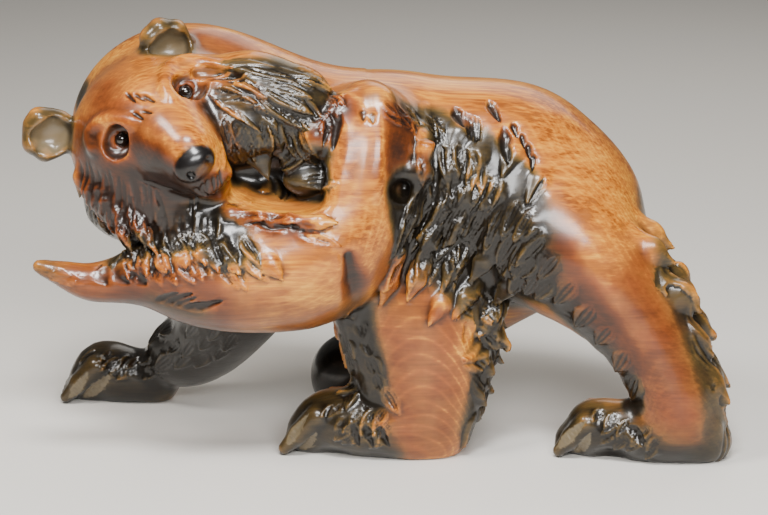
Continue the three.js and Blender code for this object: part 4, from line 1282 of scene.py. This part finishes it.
# %% Thin the mesh
FACE_LIMIT = 195000
began = time.time()
bear = bpy.data.objects.new("bear", mesh_of("bear", in_frame(points), faces))
bpy.context.scene.collection.objects.link(bear)
for name, values in layers.items():
    layer = bear.data.attributes.new(name, "FLOAT", "POINT")
    layer.data.foreach_set("value", values.astype(np.float32))
thin = bear.modifiers.new("thin", "DECIMATE")
thin.ratio = min(1, FACE_LIMIT / (2 * len(faces)))
thin.use_collapse_triangulate = True
graph = bpy.context.evaluated_depsgraph_get()
thinned = bpy.data.meshes.new_from_object(bear.evaluated_get(graph))
bear.modifiers.clear()
bear.data = thinned
bear.data.name = "bear"
bear.data.shade_smooth()
print("thinned to %d triangles in %.1f s" % (len(bear.data.polygons), time.time() - began))
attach(bear, "root")
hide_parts("carved_bear")

# %% [markdown]
# ## Glass eyes
# Two dark glass balls sit in the sockets. Each is a smooth ball of the measured radius, so that it takes
# one clear highlight; the ball of the measured solid is faceted and would glitter.

# %% Glass eyes
eyes = {}
for name, eye in EYES.items():
    bpy.ops.mesh.primitive_uv_sphere_add(segments=48, ring_count=32, radius=EYE_RADIUS / 1000)
    ball = bpy.context.object
    ball.name = "glass_" + name
    ball.data.shade_smooth()
    turn = Matrix(np.array([CHEEK, CROWN, LOOK]).T.tolist()).to_4x4()
    ball.data.transform(turn)
    ball.location = Vector(in_frame(in_head(*eye)))
    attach(ball, "root")
    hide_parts(name)
    eyes[name] = ball
print("eyes at", [tuple(round(v, 4) for v in ball.location) for ball in eyes.values()])

# %% [markdown]
# ## Nodes of a material
# The real bear was stained and lacquered by hand, and no two places on it are alike. Every colour is
# worked out from the place and the layers, so it fits the carving exactly, which an image wrapped round
# the bear would not. A few helpers keep the tree of nodes short enough to read.

# %% Nodes of a material
def new_material(name):
    material = bpy.data.materials.new(name)
    material.use_nodes = True
    return material, material.node_tree.nodes, material.node_tree.links


def node(kind, **settings):
    """A node of the material in hand; each setting is a property of the node or else one of its inputs."""
    made = nodes.new(kind)
    for name, value in settings.items():
        if hasattr(made, name):
            setattr(made, name, value)
        else:
            made.inputs[name.replace("_", " ")].default_value = value
    return made


def plug(socket, value):
    """Write a constant on a socket, or link anything else to it."""
    if isinstance(value, (int, float, tuple)):
        socket.default_value = value
    else:
        links.new(value, socket)


def number(operation, a, b, clamp=False):
    made = node("ShaderNodeMath", operation=operation, use_clamp=clamp)
    plug(made.inputs[0], a)
    plug(made.inputs[1], b)
    return made.outputs[0]


wood, nodes, links = new_material("lacquered_wood")
shader = nodes["Principled BSDF"]
print("a new material starts with", len(nodes), "nodes")

# %% [markdown]
# ## Sums in a material
# Most of the material is sums of parts with a weight each: so much of the streaks, so much of the hairs.

# %% Sums in a material
def plus(a, b, clamp=False):
    return number("ADD", a, b, clamp)


def minus(a, b):
    return number("SUBTRACT", a, b)


def times(a, b, clamp=False):
    return number("MULTIPLY", a, b, clamp)


def weighted(parts):
    """Sum of the parts, each times its weight."""
    total = times(*parts[0])
    for part, weight in parts[1:]:
        total = plus(total, times(part, weight))
    return total


print("a sum of three parts takes five nodes")

# %% [markdown]
# ## Ramps, mixes and layers
# A ramp turns a sum into a colour, a mix lays one colour over another, and a layer is read by its name.

# %% Ramps, mixes and layers
def ramp(value, stops):
    made = nodes.new("ShaderNodeValToRGB")
    links.new(value, made.inputs[0])
    elements = made.color_ramp.elements
    while len(elements) < len(stops):
        elements.new(1.0)
    for element, (at, colour) in zip(elements, stops):
        element.position = at
        element.color = (*colour, 1)
    return made.outputs[0]


def mixed(share, a, b):
    made = node("ShaderNodeMix", data_type="RGBA")
    for socket, value in zip((made.inputs[0], made.inputs[6], made.inputs[7]), (share, a, b)):
        plug(socket, value)
    return made.outputs[2]


def layer_of(name):
    return node("ShaderNodeAttribute", attribute_name=name).outputs["Fac"]


red_level = layer_of("red")
stain_and_shade_level = layer_of("stain")
print("the material reads", red_level.node.attribute_name, "and", stain_and_shade_level.node.attribute_name)

# %% [markdown]
# ## Grain of the wood
# Grain runs along the back, so the rings of the tree are shells around a line along the body. Long
# streaks, fine hairs and broad patches, all stretched along that line, make up the rest. The rings show
# most on the near foreleg, where the real bear has a strong figure.

# %% Grain of the wood
coordinates = nodes.new("ShaderNodeTexCoord").outputs["Object"]


def mapped(scale, location=(0, 0, 0)):
    made = node("ShaderNodeMapping", Scale=scale, Location=location)
    links.new(coordinates, made.inputs["Vector"])
    return made.outputs[0]


def noise(vector, scale, detail=4, roughness=0.55):
    made = node("ShaderNodeTexNoise", Scale=scale, Detail=detail, Roughness=roughness)
    links.new(vector, made.inputs["Vector"])
    return made.outputs["Fac"]


broad_patches = noise(mapped((5, 11, 11)), 1.8)
streaks = noise(mapped((5, 70, 70)), 2.4, 5, 0.6)
hairs = noise(mapped((9, 260, 260)), 2.0, 4, 0.6)
rings = node(
    "ShaderNodeTexWave", wave_type="RINGS", rings_direction="X", Scale=120.0, Distortion=5.0,
    Detail=2.0, Detail_Scale=0.15,
)
links.new(mapped((0.3, 1, 1), (0, -0.16, -0.12)), rings.inputs["Vector"])
ring_lines = number("POWER", rings.outputs["Fac"], 4.0)
contrast = plus(times(layer_of("figure"), 0.15), 0.06)
grain = weighted([(minus(0.3, ring_lines), contrast), (streaks, 0.5), (hairs, 0.55), (broad_patches, 0.75)])
clean = ramp(grain, [
    (0.66, (0.63, 0.29, 0.030)), (0.80, (0.50, 0.19, 0.016)),
    (0.92, (0.36, 0.105, 0.008)), (1.0, (0.20, 0.05, 0.005)),
])
print("nodes for the clean wood:", len(nodes))

# %% [markdown]
# ## Amount of stain and painted shade
# Stain is deepest in a cut and thinnest on an edge, where the cloth wiped it off. It also gathers in
# scoops, is a little patchy, and soaks further into dark grain. Broad hollows and undersides add painted
# shade to the same amount.

# %% Amount of stain and painted shade
recess = layer_of("recess")
patchy = minus(noise(mapped((1, 1, 1)), 45.0), 0.5)
depth = weighted([
    (number("MAXIMUM", recess, 0.0), 0.75),
    (number("MINIMUM", recess, 0.0), 0.36),
    # painted shade in broad hollows
    (layer_of("hollow"), 0.22),
    (layer_of("scoop"), 0.22),
    # painted shade on undersides
    (layer_of("under"), 0.3),
    (patchy, 0.45),
    (minus(grain, 0.82), 0.55),
])
amount = plus(number("MAXIMUM", stain_and_shade_level, red_level), depth, clamp=True)
print("nodes with the amount of stain:", len(nodes))

# %% [markdown]
# ## Colours of the stain and painted shade
# The same stain reads honey to red brown where it is thin and olive to nearly black where it is thick,
# and painted shade takes the same colours. So there are two ramps, and the red brown one is used where
# the red layer is stronger.

# %% Colours of the stain
olive = ramp(amount, [
    (0.10, (0.42, 0.17, 0.030)), (0.30, (0.23, 0.105, 0.022)), (0.55, (0.070, 0.042, 0.012)),
    (0.80, (0.024, 0.016, 0.006)), (1.0, (0.006, 0.004, 0.002)),
])
reddish = ramp(amount, [
    (0.10, (0.40, 0.115, 0.014)), (0.30, (0.24, 0.055, 0.008)), (0.55, (0.11, 0.026, 0.005)),
    (0.80, (0.042, 0.012, 0.004)), (1.0, (0.012, 0.005, 0.003)),
])
CLAW_AND_EAR_SHEEN_COLOUR = (0.20, 0.155, 0.09, 1)
NOSE_COLOUR = (0.004, 0.003, 0.003, 1)
warm = plus(minus(plus(red_level, 0.5), stain_and_shade_level), patchy, clamp=True)
# colour of the stain, used also for the painted shade
stain_and_shade_colour = mixed(warm, olive, reddish)
wash = times(minus(amount, 0.05), 5.0, clamp=True)
colour = mixed(wash, clean, stain_and_shade_colour)
# pale bare wood of the claws, and the painted reflection inside the ears
colour = mixed(times(layer_of("bare_and_ear_sheen"), 0.6), colour, CLAW_AND_EAR_SHEEN_COLOUR)
colour = mixed(layer_of("nose"), colour, NOSE_COLOUR)
links.new(colour, shader.inputs["Base Color"])
print("nodes with the colours:", len(nodes))

# %% [markdown]
# ## Lacquer
# A clear coat lies over everything, stain and bare wood alike, and the wood below it shines a little
# unevenly. The relief is only fine pores, because all real depth is in the mesh.

# %% Lacquer
rough = plus(times(noise(mapped((1, 1, 1)), 90.0), 0.22), 0.26)
links.new(rough, shader.inputs["Roughness"])
shader.inputs["Coat Weight"].default_value = 0.75
shader.inputs["Coat Roughness"].default_value = 0.2
shader.inputs["Coat IOR"].default_value = 1.5
shader.inputs["Specular IOR Level"].default_value = 0.18
bump = node("ShaderNodeBump", Strength=0.5, Distance=0.0010)
relief = plus(times(hairs, 0.25), noise(mapped((0.7, 1, 1)), 55.0, 2))
links.new(relief, bump.inputs["Height"])
links.new(bump.outputs[0], shader.inputs["Normal"])
bear.data.materials.clear()
bear.data.materials.append(wood)
print("lacquered wood:", len(nodes), "nodes")

# %% [markdown]
# ## Dark glass
# The eyes are nearly black and mirror-smooth. A see-through glass with a painted pupil behind it would
# be truer to a real glass eye, but at this size only the dark ball and its highlight can be seen.

# %% Dark glass
glass, nodes, links = new_material("dark_glass")
shader = nodes["Principled BSDF"]
shader.inputs["Base Color"].default_value = (0.008, 0.005, 0.004, 1)
shader.inputs["Roughness"].default_value = 0.05
shader.inputs["Coat Weight"].default_value = 1.0
shader.inputs["Coat Roughness"].default_value = 0.02
for ball in eyes.values():
    ball.data.materials.append(glass)
print("dark glass on", len(eyes), "eyes")

# %% [markdown]
# ## Floor
# A wide pale floor catches the shadow of the four feet and throws a soft light back up into the belly.
# It belongs to the stage and not to the bear.

# %% Floor
HALF_FLOOR = 6
square = [(-HALF_FLOOR, -HALF_FLOOR, 0), (HALF_FLOOR, -HALF_FLOOR, 0), (HALF_FLOOR, HALF_FLOOR, 0)]
square.append((-HALF_FLOOR, HALF_FLOOR, 0))
floor_mesh = bpy.data.meshes.new("floor")
floor_mesh.from_pydata(square, [], [(0, 1, 2, 3)])
floor = bpy.data.objects.new("floor", floor_mesh)
bpy.context.scene.collection.objects.link(floor)
pale_floor, nodes, links = new_material("pale_floor")
nodes["Principled BSDF"].inputs["Base Color"].default_value = (0.68, 0.655, 0.61, 1)
nodes["Principled BSDF"].inputs["Roughness"].default_value = 0.6
floor.data.materials.append(pale_floor)
print("the floor is", 2 * HALF_FLOOR, "m wide")

# %% [markdown]
# ## Light
# The photograph was taken in soft light from the front and above, and it shows in wide highlights along
# the back and the raised limb. Large soft lamps make such highlights. Each is given by its direction
# round the bear, its height in degrees and its distance, and all aim at the middle of the body. One
# more lamp from behind lifts the edge of the back.

# %% Light
AIM = (0, 0, 0.16)


def toward(azimuth, elevation, distance):
    turn, rise = math.radians(azimuth), math.radians(elevation)
    flat = distance * math.cos(rise)
    return flat * math.sin(turn), -flat * math.cos(turn), AIM[2] + distance * math.sin(rise)


def soft_light(name, place, size, power, colour=(1, 1, 1)):
    light = bpy.data.lights.new(name, "AREA")
    light.shape = "RECTANGLE"
    light.size, light.size_y = size
    light.energy = power
    light.color = colour
    lamp = bpy.data.objects.new(name, light)
    lamp.location = place
    lamp.rotation_euler = (Vector(AIM) - Vector(place)).to_track_quat("-Z", "Y").to_euler()
    bpy.context.scene.collection.objects.link(lamp)


soft_light("key", toward(11, 28, 1.7), (1.0, 0.36), 34)
soft_light("upper", toward(-54, 52, 1.6), (0.4, 0.4), 18, (1, 0.97, 0.93))
soft_light("belly", toward(-3, 57, 1.6), (0.42, 0.3), 30)
soft_light("back", toward(155, 45, 1.8), (1.5, 1.0), 11, (1, 0.96, 0.9))
world = bpy.data.worlds.new("studio")
world.use_nodes = True
world.node_tree.nodes["Background"].inputs[0].default_value = (1.0, 0.95, 0.88, 1)
world.node_tree.nodes["Background"].inputs[1].default_value = 0.13
bpy.context.scene.world = world
print("lamps:", len(bpy.data.lights))

# %% [markdown]
# ## Camera
# The camera stands in front of the near side, a little above the bear, and looks down by 15 degrees. It
# was matched to the photograph with the same carving millimetres, so its place goes through the shift.

# %% Camera
SENSOR = 36
FOCAL_PIXELS = 2733
PICTURE_WIDTH = 768
camera_data = bpy.data.cameras.new("camera")
camera_data.sensor_width = SENSOR
camera_data.lens = SENSOR * FOCAL_PIXELS / PICTURE_WIDTH
camera = bpy.data.objects.new("camera", camera_data)
camera.location = Vector(in_frame([0, -1870, 633]))
camera.rotation_euler = (math.radians(75), 0, 0)
bpy.context.scene.collection.objects.link(camera)
bpy.context.scene.camera = camera
print("focal length %.1f mm" % camera_data.lens)
